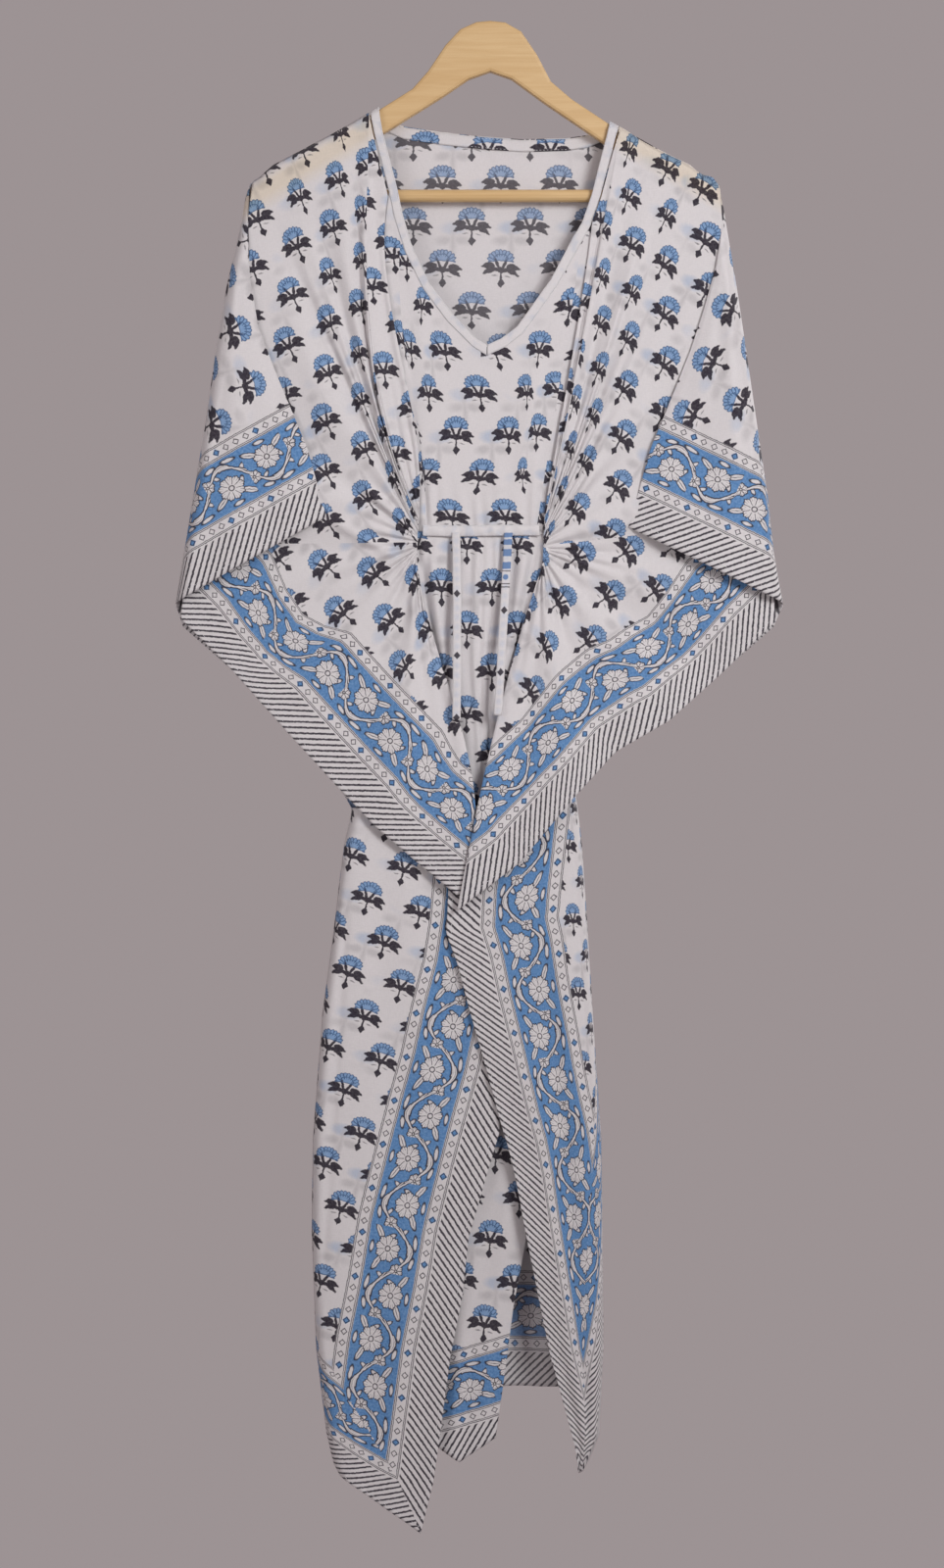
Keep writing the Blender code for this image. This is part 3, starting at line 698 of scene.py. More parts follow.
# %% Folds that fan out from the left gather
GATHER_DEPTH = -14.0
LEFT_GATHER = table("x z", (-67, -458), (-69, -509))
LEFT_FOLDS = table(
    "x z near far fold edge depth",
    (-95.5, -166, 8, -12, 1.2, 0.5, -12.8),
    (-106, -124, -6, -9, -0.6, 0.2, -12.8),
    (-112.5, -94, -18, -8, 3.0, 0, -13),
    (-113.2, -86, -20, -8, 4.5, 0, -13),
    (-130, -97, -17, -6, -3.0, 0, -13),
    (-152, -109, -13, -4, 3.5, 0, -13),
    (-178, -122, -9, -2, -2.5, 0, -13),
    (-203, -135, -5, 0, 3.0, 0, -12),
    (-221.5, -151, -2, 0, -2.0, 0, -12),
    (-225, -240, 0, 0, 2.0, 0.3, -12),
    (-250, -325, 0, 0, -2.5, 0.3, -12),
    (-266, -420, 0, 0, 3.0, 0.3, -12),
    (-279, -500, 0, 0, -3.0, 0.3, -12),
    (-290, -561, 0, 0, 1.5, 0.4, -13),
    (-241, -610, 0, 0, -3.0, 0.7, -14),
    (-190, -667, 0, 0, 3.0, 0.7, -17),
    (-147, -714, 2, 4, -3.0, 0.7, -23),
    (-107, -756, 3, 9, 3.0, 0.6, -27),
    (-66, -791, 3, 17, -2.5, 0.6, -30),
    (-28, -822, 0, 26, 1.5, 0.5, -32),
)

# %% Folds that fan out from the right gather
RIGHT_GATHER = table("x z", (51, -462), (49, -512))
RIGHT_FOLDS = table(
    "x z near far fold edge depth",
    (95.2, -192, 0, 2, 1.2, 0.5, -13),
    (104.3, -165, 0, 2, 0.0, 0.3, -13),
    (111.5, -138, 0, 2, -0.6, 0.2, -13),
    (120, -107, 2, 2, 3.0, 0, -13),
    (121.4, -99, 2, 2, 4.0, 0, -13),
    (140, -113, 3, 2, -3.0, 0, -13),
    (160, -124, 4, 2, 3.5, 0, -13),
    (180, -133, 3, 0, -2.5, 0, -13),
    (200, -146, 2, 0, 2.5, 0, -12),
    (211, -163, 1, 0, -2.0, 0, -12),
    (216.5, -245, 0, 0, 2.0, 0.3, -12),
    (236, -325, 0, 0, -2.5, 0.3, -12),
    (250, -420, 0, 0, 3.0, 0.3, -12),
    (260, -500, 0, 0, -3.0, 0.3, -12),
    (268, -563, 0, 0, 1.5, 0.4, -13),
    (216, -613, 0, 0, -3.0, 0.7, -14),
    (167, -657, 0, 0, 3.0, 0.7, -18),
    (117, -686, -2, -1, -3.0, 0.7, -25),
    (75, -732, -3, -2, 3.0, 0.6, -31),
    (28, -789, -4, -3, -2.5, 0.6, -35),
    (-31, -834, -5, -3, 1.5, 0.5, -37),
)

# %% Sleeves
LEFT_SLEEVE = table(
    "side_z x z crease middle",
    (-160, -225.7, -158, -9, -9),
    (-200, -226.4, -195, -15, -16),
    (-250, -225, -240, -17, -21),
    (-310, -217, -288, -18, -24),
    (-375, -203, -325, -18, -26),
    (-430, -188, -361, -18, -26),
    (-490, -171, -402, -18, -26),
    (-547, -153, -466, -17.5, -26),
)
RIGHT_SLEEVE = table(
    "side_z x z crease middle",
    (-174, 215.3, -172, -9, -9),
    (-205, 216.5, -198, -15, -16),
    (-250, 211, -232, -17, -21),
    (-310, 200, -272, -18, -24),
    (-375, 187, -311, -18, -26),
    (-430, 171, -351, -18, -26),
    (-490, 150, -402, -18, -26),
    (-547, 129, -476, -17.5, -26),
)
SLEEVE_FOLDS = table("across fold", (0, 0), (0.18, 1.2), (0.38, -1.2), (0.6, 1.5), (0.8, -0.6), (1, 0))

# %% Flaps
FLAP_DEPTH_LEFT = -20.0
FLAP_DEPTH_RIGHT = -25.0
LEFT_FLAP = table(
    "side_z x z",
    (-738, -60, -746), (-800, -40, -812), (-865, -24, -870), (-932, -6, -935), (-1000, 8, -1000),
    (-1045, 9, -1040), (-1085, -4, -1084), (-1136, -20, -1140), (-1190, -26, -1195), (-1245, -37, -1250),
    (-1298, -45, -1310), (-1330, -53, -1368), (-1362, -65, -1416),
)
RIGHT_FLAP = table(
    "side_z x z",
    (-724, -32, -752), (-780, -39, -815), (-850, -41, -855), (-885, -30, -886), (-932, -20, -925),
    (-979, -7, -970), (-1026, 9, -1030), (-1057, 17, -1056), (-1090, 24, -1086), (-1128, 32, -1130),
    (-1198, 46, -1200), (-1245, 56, -1250), (-1292, 70, -1300), (-1326, 79, -1334), (-1358, 82.5, -1359),
)
FLAP_FOLDS = table("across fold", (0, 0), (0.2, 1.4), (0.42, -1.2), (0.63, 1.3), (0.82, -1.0), (1, 0.6))

# %% Skirt, bodice and back
WAIST = -479.5
BODICE_DEPTH = -10.6
SKIRT_DEPTH = -10.5
BACK_DEPTH = 12.5
SKIRT = table(
    "z left right",
    (WAIST, -71, 54), (-530, -79, 60), (-600, -72, 50), (-680, -56, 40), (-760, -50, 36), (-900, -56, 40),
    (-1042, -62, 43), (-1142, -66, 34), (-1204, -66, 22), (-1258, -66, 15), (-1326, -66, 5),
)
SKIRT_FOLDS = table(
    "across fold", (0, 0), (0.14, 1.6), (0.28, -1.4), (0.45, 2.0), (0.62, -1.5), (0.8, 1.7), (1, -0.4)
)
SKIRT_TIP = 25.0
SKIRT_TIP_ACROSS = 0.52
BODICE_FOLDS = table("across fold", (0, 0), (0.2, 0.5), (0.4, -0.5), (0.65, 0.6), (0.85, -0.4), (1, 0))
BACK_FOLDS = table(
    "across fold",
    (0, 0), (0.09, 3.6), (0.19, -2.2), (0.28, 4.6), (0.4, -2.4), (0.5, 3.2), (0.61, -3.0), (0.7, 4.6),
    (0.82, -2.0), (0.9, 3.4), (1, 0),
)
BACK_HEM_RISE = 43.0
print("lowest corner:", LEFT_FLAP["z"][-1], "millimetres")

# %% [markdown]
# Cloth that hangs from a gather is easiest to describe by two shares: how far a point is from the gather to
# the cloth's end, and how far round the fan. A few soft steps and bends turn those shares into a place. Each
# helper below works on whole arrays at once, which lets a fine grid be laid in a moment.

# %% Soft steps and bends


def ease(start, end, value):
    """0 before start and 1 after end, with a soft step between them."""
    part = np.clip((value - start) / (end - start), 0, 1)
    return part * part * (3 - 2 * part)


def mix(a, b, part):
    return a + (b - a) * part


def rolled(distance, radius):
    """How much of its depth cloth has at this distance from an edge that it rolls round."""
    left = 1 - np.clip(distance / radius, 0, 1)
    return np.sqrt(1 - left * left)


def bend(part, near, far):
    """A sideways bend of a fold, largest at a third and at two thirds of its length."""
    return 6.75 * part * (1 - part) * (near * (1 - part) + far * part)


def read_row(rows, columns, row):
    """The named columns of a table at a row, which may lie between two."""
    found = [np.interp(row, np.arange(len(rows[column])), rows[column]) for column in columns.split()]
    return found if len(found) > 1 else found[0]


def read_wave(knots, values, at):
    """A soft wave through the values: level at each knot, and a cosine between two."""
    i = np.clip(np.searchsorted(knots, at) - 1, 0, len(knots) - 2)
    part = np.clip((at - knots[i]) / (knots[i + 1] - knots[i]), 0, 1)
    return values[i] + (values[i + 1] - values[i]) * (1 - np.cos(math.pi * part)) / 2


def read_fold(folds, at):
    return read_wave(folds["across"], folds["fold"], at)


def side(column, z, rows=SIDES):
    """A column of a table that is listed from the top down, read at a height."""
    return np.interp(-z, -rows["z"], rows[column])


def shoulder_height(x):
    return np.interp(x, HANGER_TOP["x"], HANGER_TOP["z"]) + LOFT_OVER_WOOD


def over_shoulder(x, z, y):
    return np.minimum(y * rolled(shoulder_height(x) - z, SHOULDER_ROLL), -EDGE_MEETING)


# %% [markdown]
# Real cloth is never as regular as a formula. A handful of long, slow waves that don't repeat together adds
# the unevenness, and the main creases are laid one by one as soft ridges and troughs along short lines, each
# with its own depth, width and taper.

# %% Unevenness and creases
TUCK_HEIGHT = 0.07


def ripple(x, z, size):
    """Slow, uneven waves a few centimetres across, up to size high."""
    waves = np.sin(x / 23 + 1.3 * np.sin(z / 61)) * np.sin(z / 47 + 0.8)
    waves = waves + 0.6 * np.sin(x / 11 + z / 37 + 2.1) * np.sin(z / 83 - x / 53)
    return size * waves / 1.6


def beside(x, z, x0, z0, x1, z1):
    """How long a line is, how far along it each point lies, and how far to its side."""
    run = math.hypot(x1 - x0, z1 - z0)
    along = ((x - x0) * (x1 - x0) + (z - z0) * (z1 - z0)) / run
    away = ((z - z0) * (x1 - x0) - (x - x0) * (z1 - z0)) / run
    return run, along, away


def crease(x, z, lines):
    """The sum of soft ridges along short lines: x z to_x to_z depth width."""
    total = np.zeros_like(x)
    for *line_ends, depth, width in lines:
        run, along, away = beside(x, z, *line_ends)
        taper = ease(-0.15 * run, 0.2 * run, along) * ease(1.15 * run, 0.8 * run, along)
        total += depth * taper * np.exp(-((away / width) ** 2))
    return total


def unfold(x, z, tucks, fading=True):
    """Where each point would lie with small tucks pulled out flat: x z to_x to_z hidden width."""
    flat_x, flat_z = x, z
    for x0, z0, x1, z1, hidden, width in tucks:
        run, along, away = beside(x, z, x0, z0, x1, z1)
        taper = ease(-0.3 * run, 0.1 * run, along) * ease(1.3 * run, 0.9 * run, along)
        shift = hidden / 2 * (taper if fading else 1) * np.tanh(away / width)
        flat_x, flat_z = flat_x + shift * (z0 - z1) / run, flat_z + shift * (x1 - x0) / run
    return flat_x, flat_z


def ridges(x, z, tucks):
    """The low ridge that each tuck raises."""
    return crease(x, z, [(*ends, hidden * TUCK_HEIGHT, width) for *ends, hidden, width in tucks])


# %% [markdown]
# A tailor chalks the pattern on flat cloth, and the printer's rows follow the threads. On the hanging dress
# those rows lean wherever a pleat or the drape turns the cloth. Each sector between two folds therefore gets
# its own lean and one known flower head, and the seams between sectors fall in the creases that hide them.

# %% Flat coordinates of the cloth
FAR_AWAY = 1e9
PAST_BORDER = 900.0


def distance_along(x, z, points):
    """How far each point lies from a line of points, whose ends run on, and how far along its chord."""
    best = np.full(x.shape, FAR_AWAY)
    last = len(points) - 2
    for i, (start, end) in enumerate(zip(points[:-1], points[1:])):
        run, along, _ = beside(x, z, *start, *end)
        share = np.clip(along / run, -9 if i == 0 else 0, 9 if i == last else 1)
        best = np.minimum(best, np.hypot(x - mix(start[0], end[0], share), z - mix(start[1], end[1], share)))
    return best, beside(x, z, *points[0], *points[-1])[1]


def field_place(x, z, lean, squeeze, head_x, head_z, shrink=1):
    """Flat coordinates in the field of carnations, one of whose heads lies at a known place.

    The sprigs lean by lean degrees and are narrowed by squeeze and shortened by shrink."""
    angle = np.radians(lean)
    right = (x - head_x) * np.cos(angle) + (z - head_z) * np.sin(angle)
    up = (z - head_z) * np.cos(angle) - (x - head_x) * np.sin(angle)
    return right / squeeze, up / shrink + HEAD_RISE


def vertex_of_corner(mesh):
    found = np.empty(len(mesh.loops), int)
    mesh.loops.foreach_get("vertex_index", found)
    return found


def set_uv(mesh, name, u, v):
    layer = mesh.uv_layers.new(name=name)
    layer.data.foreach_set("uv", np.column_stack([u, v]).astype(np.float32).ravel() * MM)


def lay_print(cloth, places, sector_of_face=None, edges=()):
    """Writes both sets of flat coordinates: each face lies in one sector, and is nearest to one edge.

    An edge is its points and a table of how wide the border shows along it."""
    mesh = cloth.piece.data
    corner = vertex_of_corner(mesh)
    face = np.repeat(np.arange(len(mesh.polygons)), 4)
    chosen = 0 if sector_of_face is None else sector_of_face[face]
    set_uv(mesh, FIELD_UV, *[np.choose(chosen, [place[axis][corner] for place in places]) for axis in (0, 1)])
    if not edges:
        set_uv(mesh, BORDER_UV, np.full(len(corner), PAST_BORDER), np.zeros(len(corner)))
        return
    found = []
    for points, widths in edges:
        away, along = distance_along(cloth.x, cloth.z, points)
        found.append((away * BORDER / np.interp(along, widths["along"], widths["width"]), along))
    means = np.array([away[corner].reshape(-1, 4).mean(axis=1) for away, _ in found])
    nearest = means.argmin(axis=0)[face]
    set_uv(mesh, BORDER_UV, *[np.choose(nearest, [edge[axis][corner] for edge in found]) for axis in (0, 1)])


FULL_WIDTH = table("along width", (0, BORDER), (1, BORDER))


# %% [markdown]
# A panel starts as a flat grid, as it does on the cutting table. Moving its points to their hung places and
# giving the sheet its thickness with Solidify makes a thin shell that is printed outside and paler inside.

# %% From a grid to hung cloth
STEEP = 0.7
pieces = {}
hems = {}


def across_at(share):
    """A line across a piece, at a share of its length."""
    return (0, share), (1, share)


def rolled_out(flat, depth, axis):
    """Flat places with the cloth's steep turned edges laid out level, outwards from the middle."""
    step, rise = np.diff(flat, axis=axis), np.diff(depth, axis=axis)
    hidden = np.where(abs(rise) > STEEP * abs(step), np.hypot(step, rise) - abs(step), 0) * np.sign(step)
    total = np.cumsum(hidden, axis=axis)
    total = np.concatenate([np.zeros_like(np.take(total, [0], axis=axis)), total], axis=axis)
    return flat + total - np.take(total, [total.shape[axis] // 2], axis=axis)


def hang(name, place, size, facing=-1, finish=(printed, inside), wall=WALL, turned=False):
    """A grid of cloth laid through place(across, along), with its flat coordinates still to come.

    What comes back holds the piece, its points' x and z, the share along at each point, and the shares
    across and along of each face."""
    columns, rows = size
    grid = (rows + 1, columns + 1)
    across, along = np.meshgrid(np.arange(columns + 1) / columns, np.arange(rows + 1) / rows)
    x, y, z = place(across.ravel(), along.ravel())
    bm = bmesh.new()
    bmesh.ops.create_grid(bm, x_segments=columns, y_segments=rows, size=0.5)
    bm.verts.ensure_lookup_table()
    flat = np.array([vert.co for vert in bm.verts]) + 0.5
    row, column = np.rint(flat[:, 1] * rows).astype(int), np.rint(flat[:, 0] * columns).astype(int)
    order = row * (columns + 1) + column
    for vert, hung in zip(bm.verts, (np.column_stack([x, y, z])[order] * MM).tolist()):
        vert.co = hung
    bm.normal_update()
    if sum(face.normal.y for face in bm.faces) * facing < 0:
        bmesh.ops.reverse_faces(bm, faces=bm.faces)
    mesh = mesh_from(bm, name)
    mesh.shade_smooth()
    for one in finish:
        mesh.materials.append(one)
    pieces[name] = add_object(name, mesh)
    shell = pieces[name].modifiers.new("thickness", "SOLIDIFY")
    shell.thickness = wall * MM
    shell.offset = 0
    shell.material_offset = len(finish) - 1
    corner = vertex_of_corner(mesh)
    across, along = across.ravel()[order], along.ravel()[order]
    middles = [share[corner].reshape(-1, 4).mean(axis=1) for share in (across, along)]
    if turned:
        x = rolled_out(x.reshape(grid), y.reshape(grid), 1).ravel()
    print(name, len(mesh.polygons), "faces")
    return SimpleNamespace(
        piece=pieces[name], x=x[order], z=z[order], along=along, face_across=middles[0], face_along=middles[1]
    )


def sector_from(rows, starts):
    """Which sector each face lies in, from its row and the row at which each sector starts."""
    return np.searchsorted(np.array(starts[1:], float), rows)


def finish_piece(piece, node):
    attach(piece, "root")
    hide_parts(node)


# %% [markdown]
# The drawstring comes first, because its length is a fact: the two free ends fall straight down from the
# channel at the waist. Each is a narrow strip of folded voile. A round tube would look like cord, so the same
# grid as the cloth is used, only narrow, with a soft twist.

# %% The drawstring's two free ends
TIE_WIDTH = 7.5
TIE_THICKNESS = 1.6
LEFT_TIE = table(
    "x y z", (-32, -15, -481), (-31.5, -16, -500), (-31, -20, -545), (-31, -26, -605), (-31.5, -29.5, -656)
)
RIGHT_TIE = table(
    "x y z", (17, -15, -481), (16, -16, -500), (13.5, -20.5, -545), (10, -28, -605), (7, -31, -652)
)
TIE_POINTS = 30
TIE_CUP = 0.5
TIE_TWIST = 0.35
SPOT_STEP = 58.0
RIGHT_TIE_SHIFT = 100.0
TIE_SQUARES = ((70.5, 2.2), (64.0, 2.6), (54.0, 3.4), (42.0, 3.2))


def tie_middle(route, along):
    return read_row(route, "x y z", along * (len(route["x"]) - 1))


def tie_place(route):
    def place(across, along):
        x, y, z = tie_middle(route, along)
        sideways = across - 0.5
        cup = TIE_CUP * np.cos(math.pi * sideways) + TIE_TWIST * np.sin(along * 9) * sideways
        return x + sideways * TIE_WIDTH, y - cup, z

    return place


def tie_colour(tree):
    """White, with a dark spot now and then, and near the right end's top some blue squares of the border."""
    shifted, along, _ = split(cloth_point(tree, FIELD_UV, wobble=0.5))
    on_right = (shifted - RIGHT_TIE_SHIFT / 2).ink()
    across = shifted - on_right * RIGHT_TIE_SHIFT
    spots = repeat(along + SPOT_STEP / 2, SPOT_STEP)
    spots = (abs(spots) * 0.85 + abs(across)).scaled(-1, 3.1).both(along.scaled(-1, 10))
    faint = blob(join(across, repeat(along, 9.0)), (0, 0), (2.2, 3.0)).ink(1.2) * 0.16
    squares = blob(join(across, along), (-0.4, 31.2), (2.4, 2.6))
    for middle, half_height in TIE_SQUARES:
        squares = squares.either(abs(along - middle).scaled(-1, half_height))
    bars = line(36.8, along, 0.9).either(line(24.8, along, 0.9)).either(line(21.8, along, 0.9))
    colour = paint(PLAIN, PALE_BLUE, faint)
    colour = paint(colour, BLUE, squares.ink() * on_right * 0.85)
    return paint(colour, DARK, spots.ink().either(bars.ink() * on_right) * 0.92)


tie_finish = cloth_material("printed_tie", tie_colour)
for name, route, shift, first_spot in (
    ("tie_left", LEFT_TIE, 0, -538.2),
    ("tie_right", RIGHT_TIE, RIGHT_TIE_SHIFT, -553.8),
):
    cloth = hang("strip_" + name, tie_place(route), (6, 90), finish=(tie_finish,), wall=TIE_THICKNESS)
    piece = cloth.piece
    path = np.column_stack(tie_middle(route, np.linspace(0, 1, TIE_POINTS))) * MM
    corner = vertex_of_corner(piece.data)
    sideways = cloth.x - side("x", cloth.z, route) + shift
    set_uv(piece.data, FIELD_UV, sideways[corner], (cloth.z - first_spot)[corner])
    finish_piece(piece, name)
    path = [tuple(point) for point in path.tolist()]

# %% [markdown]
# The bodice is the calm middle of the front, between the two pleats that run down from the shoulders. It
# hangs from the V and is held at the waist, so it has only the faintest of folds.

# %% Front bodice
BODICE_PULLS = 0.9
BODICE_RIPPLE = 0.5


def neck_point(row, across):
    x, z, out_x, out_z = read_row(NECK, "x z out_x out_z", row)
    x, z = mix(x, out_x, across), mix(z, out_z, across)
    return x, over_shoulder(x, z, FACING_DEPTH), z


def bodice_place(across, along):
    row = mix(*BODICE_ROWS, across)
    x, _, z = neck_point(row, 0.9)
    foot, near, far = read_row(NECK, "foot near far", row)
    x = mix(foot, x, along) + bend(along, near, far)
    z = mix(WAIST, z, along)
    y = BODICE_DEPTH - read_fold(BODICE_FOLDS, across) * ease(1, 0.6, along)
    pulls = BODICE_PULLS * np.sin(across * 71 + 2 * np.sin(along * 5)) * ease(0.3, 0.0, along)
    y = y - pulls - crease(x, z, BODICE_CREASES) - ridges(x, z, BODICE_TUCKS) * ease(1, 0.9, along)
    y = y - ripple(x, z, BODICE_RIPPLE) * ease(1, 0.8, along)
    return x, y, z


BODICE_TUCKS = (
    (42, -325, 29, -430, 26, 7),
    (-84, -300, -66, -440, 20, 6),
    (-70, -225, -60, -340, 16, 7),
)
BODICE_CREASES = (
    (-55, -406, -55, -470, 1.6, 3.5),
    (-78, -300, -62, -470, -1.2, 4.0),
    (46, -340, 38, -470, 1.4, 4.0),
    (8, -420, 4, -478, 1.0, 5.0),
)
BODICE_SECTORS = ((2, 0.95, -70.8, -247.5), (0, 0.94, -10.1, -334.9), (-3, 0.95, 59.8, -299))
BODICE_SECTOR_STARTS = (0, 0.13, 0.84)
cloth = hang("cloth_front_bodice", bodice_place, (120, 110))
flat = unfold(cloth.x, cloth.z, BODICE_TUCKS)
places = [field_place(*flat, *sector) for sector in BODICE_SECTORS]
lay_print(cloth, places, sector_from(cloth.face_across, BODICE_SECTOR_STARTS))
finish_piece(cloth.piece, "front_bodice")

# %% [markdown]
# On each side the front panel is drawn together at the waist and fans out again: up over the shoulder, out to
# the elbow and down along the slanting free edge. Fine gathers stand close together at the string and die out
# within a hand's breadth, while the broad folds run on to the end.

# %% The two fans
UNDER_SLEEVE = 0.024
UNDER_SLEEVE_STARTS = (7.8, 8.6)
UNDER_SLEEVE_ENDS = (13, 12)
FOLDED_EDGE = 1.2
HELD_AT_STRING = 0.24
GATHER_HEIGHT = 1.5
FINE_FOLD_HEIGHT = 0.8
FAN_RIPPLE = 0.8
WING_HEM_LINE = 0.98


def fan_place(gather, folds, creases, tucks, seed):
    last = len(folds["x"]) - 1

    def place(across, turn):
        row = turn * last
        under = ease(*UNDER_SLEEVE_STARTS, row) * ease(*UNDER_SLEEVE_ENDS, row)
        across = across * (1 + UNDER_SLEEVE * under)
        end_x, end_z, near, far, edge, depth = read_row(folds, "x z near far edge depth", row)
        x = mix(mix(*gather["x"], turn), end_x, across) + bend(across, near, far)
        z = mix(mix(*gather["z"], turn), end_z, across)
        fold = read_wave(np.arange(last + 1), folds["fold"], row)
        strength = mix(HELD_AT_STRING, 1, ease(0, 0.4, across)) * mix(1, edge, ease(0.55, 1, across))
        y = mix(GATHER_DEPTH, depth, ease(0.05, 1, across)) - fold * strength
        uneven = np.sin(row * 1.7 + seed)
        gathers = np.sin(row * 7.9 + 1.5 * uneven + seed) * ease(0, 0.06, across) * ease(0.5, 0.12, across)
        fine = np.sin(row * 4.3 + 2 * uneven) * ease(0.05, 0.3, across) * ease(0.95, 0.5, across)
        y = y + FOLDED_EDGE * ease(last - 0.5, last, row) ** 2 + FOLDED_EDGE * 0.5 * ease(0.4, 0, row) ** 2
        y = y - GATHER_HEIGHT * gathers - FINE_FOLD_HEIGHT * fine
        y = y - crease(x, z, creases) - ridges(x, z, tucks)
        y = y - ripple(x, z, FAN_RIPPLE) * ease(0.1, 0.4, across) * ease(1, 0.85, across)
        return x, over_shoulder(x, z, y), z

    return place


LEFT_CREASES = (
    (-109.5, -325.7, -94.8, -410.3, 3.2, 4.6),
    (-117.8, -440.7, -80, -470, 4.0, 4.2),
    (-147.2, -470.1, -90, -503, 4.0, 4.6),
    (-160, -250, -120, -400, -1.8, 9.0),
    (-200, -230, -150, -380, 1.6, 10.0),
    (-71, -492, -42, -612, -5.5, 3.6),
    (-83, -505, -55, -620, 2.2, 4.5),
    (-150, -560, -100, -640, 1.2, 14.0),
    (-232, -590, -175, -600, -1.2, 9.0),
)
RIGHT_CREASES = (
    (109.5, -379, 80, -462, 3.2, 4.6),
    (123.3, -440.7, 58, -481, 4.2, 4.6),
    (98, -300, 72, -430, -1.8, 6.0),
    (140, -220, 112, -380, 1.8, 9.0),
    (180, -240, 140, -400, -1.6, 9.0),
    (42, -497, 19, -612, -5.5, 3.6),
    (54, -505, 31, -620, 2.2, 4.5),
    (120, -540, 80, -620, 1.2, 13.0),
    (215, -590, 160, -600, -1.2, 9.0),
)
LEFT_SECTORS = (
    (8, 0.85, -106.7, -117.8),
    ((19, 28), 0.92, -149, -139),
    (50, 0.9, -107.6, -554.8),
)
RIGHT_SECTORS = (
    (-14, 0.8, 107.6, -175.7),
    ((-22, -33), 0.92, 140.8, -200.6),
    (-53, 0.87, 61.6, -580.5),
)
LEFT_SECTOR_ROWS = (0, 3, 11.9)
RIGHT_SECTOR_ROWS = (0, 3.5, 12.6)


def ray_tucks(gather, folds, tucks):
    """Tucks along rays of the fan, from the gather to a share of the way out: row share hidden width."""
    made = []
    last = len(folds["x"]) - 1
    for row, share, hidden, width in tucks:
        start = [float(mix(*gather[axis], row / last)) for axis in "xz"]
        end = [float(mix(at, read_row(folds, axis, row), share)) for axis, at in zip("xz", start)]
        made.append((*start, *end, hidden, width))
    return tuple(made)


LEFT_RAYS = ((4.5, 0.9, 20, 9), (6.4, 0.6, 10, 9), (17.6, 0.3, 10, 8))
RIGHT_RAYS = ((4.7, 0.9, 20, 9), (7.2, 0.7, 14, 9), (18.4, 0.35, 10, 8))


def fan_field(gather, folds, rays, sectors, starts, x, z, row):
    """The flat coordinates of a fan in each of its sectors, with that sector's tucks pulled out."""
    places = []
    for (lean, *rest), first, after in zip(sectors, starts, (*starts[1:], 99)):
        if isinstance(lean, tuple):
            lean = np.interp(row, (first, after), lean)
        held = ray_tucks(gather, folds, [ray for ray in rays if first <= ray[0] < after])
        places.append(field_place(*unfold(x, z, held, fading=False), lean, *rest))
    return places


LEFT_WING_ROW = 13
RIGHT_WING_ROW = 14
LEFT_WIDTHS = table(
    "along width", (88, 98), (122, 108), (188, 107), (247, 107), (269, 93), (291, 85), (318, 90), (352, 104)
)
RIGHT_WIDTHS = table(
    "along width",
    (25, 99), (60, 91), (87, 87), (109, 92), (150, 97), (200, 89), (240, 86), (280, 90), (320, 98),
)
LEFT_FAN = (LEFT_GATHER, LEFT_FOLDS, LEFT_CREASES, LEFT_RAYS, LEFT_SECTORS, LEFT_SECTOR_ROWS, LEFT_WIDTHS)
RIGHT_FAN = (
    RIGHT_GATHER, RIGHT_FOLDS, RIGHT_CREASES, RIGHT_RAYS, RIGHT_SECTORS, RIGHT_SECTOR_ROWS, RIGHT_WIDTHS
)
for name, wing_row, towards_elbow, seed, fan in (
    ("front_left", LEFT_WING_ROW, True, 0.4, LEFT_FAN),
    ("front_right", RIGHT_WING_ROW, False, 1.9, RIGHT_FAN),
):
    gather, folds, creases, rays, sectors, starts, widths = fan
    last = len(folds["x"]) - 1
    edge = list(zip(folds["x"], folds["z"]))[wing_row:]
    place = fan_place(gather, folds, creases, ray_tucks(gather, folds, rays), seed)
    cloth = hang("cloth_" + name, place, (110, 230))
    places = fan_field(gather, folds, rays, sectors, starts, cloth.x, cloth.z, cloth.along * last)
    edges = [(edge[::-1] if towards_elbow else edge, widths)]
    lay_print(cloth, places, sector_from(cloth.face_along * last, starts), edges)
    finish_piece(cloth.piece, name)
    hems[name] = (place, -1, [((WING_HEM_LINE, wing_row / last), (WING_HEM_LINE, 1))])

# %% [markdown]
# Below the waist the front panel hangs almost straight between the two wings, in narrow folds that start at
# the string. Its hem shows again far below, between the flaps.

# %% Front skirt
SKIRT_PLEATS = 1.1
SKIRT_RIPPLE = 0.9
SKIRT_HEM_LINE = 0.994


def skirt_place(across, along):
    z = mix(SKIRT["z"][0], SKIRT["z"][-1], along)
    x = mix(side("left", z, SKIRT), side("right", z, SKIRT), across)
    y = SKIRT_DEPTH - read_fold(SKIRT_FOLDS, across) * mix(0.35, 1, ease(0, 0.25, along))
    pleats = np.sin(across * 62 + 3 * np.sin(across * 11)) * ease(0, 0.02, along) * ease(0.45, 0.1, along)
    y = y - SKIRT_PLEATS * pleats - ripple(x, z, SKIRT_RIPPLE) * ease(0, 0.1, along)
    y = y - crease(x, z, SKIRT_CREASES)
    tip = 1 - abs(across - SKIRT_TIP_ACROSS) / SKIRT_TIP_ACROSS
    return x, y, z - SKIRT_TIP * np.maximum(tip, 0) * ease(0.8, 1, along)


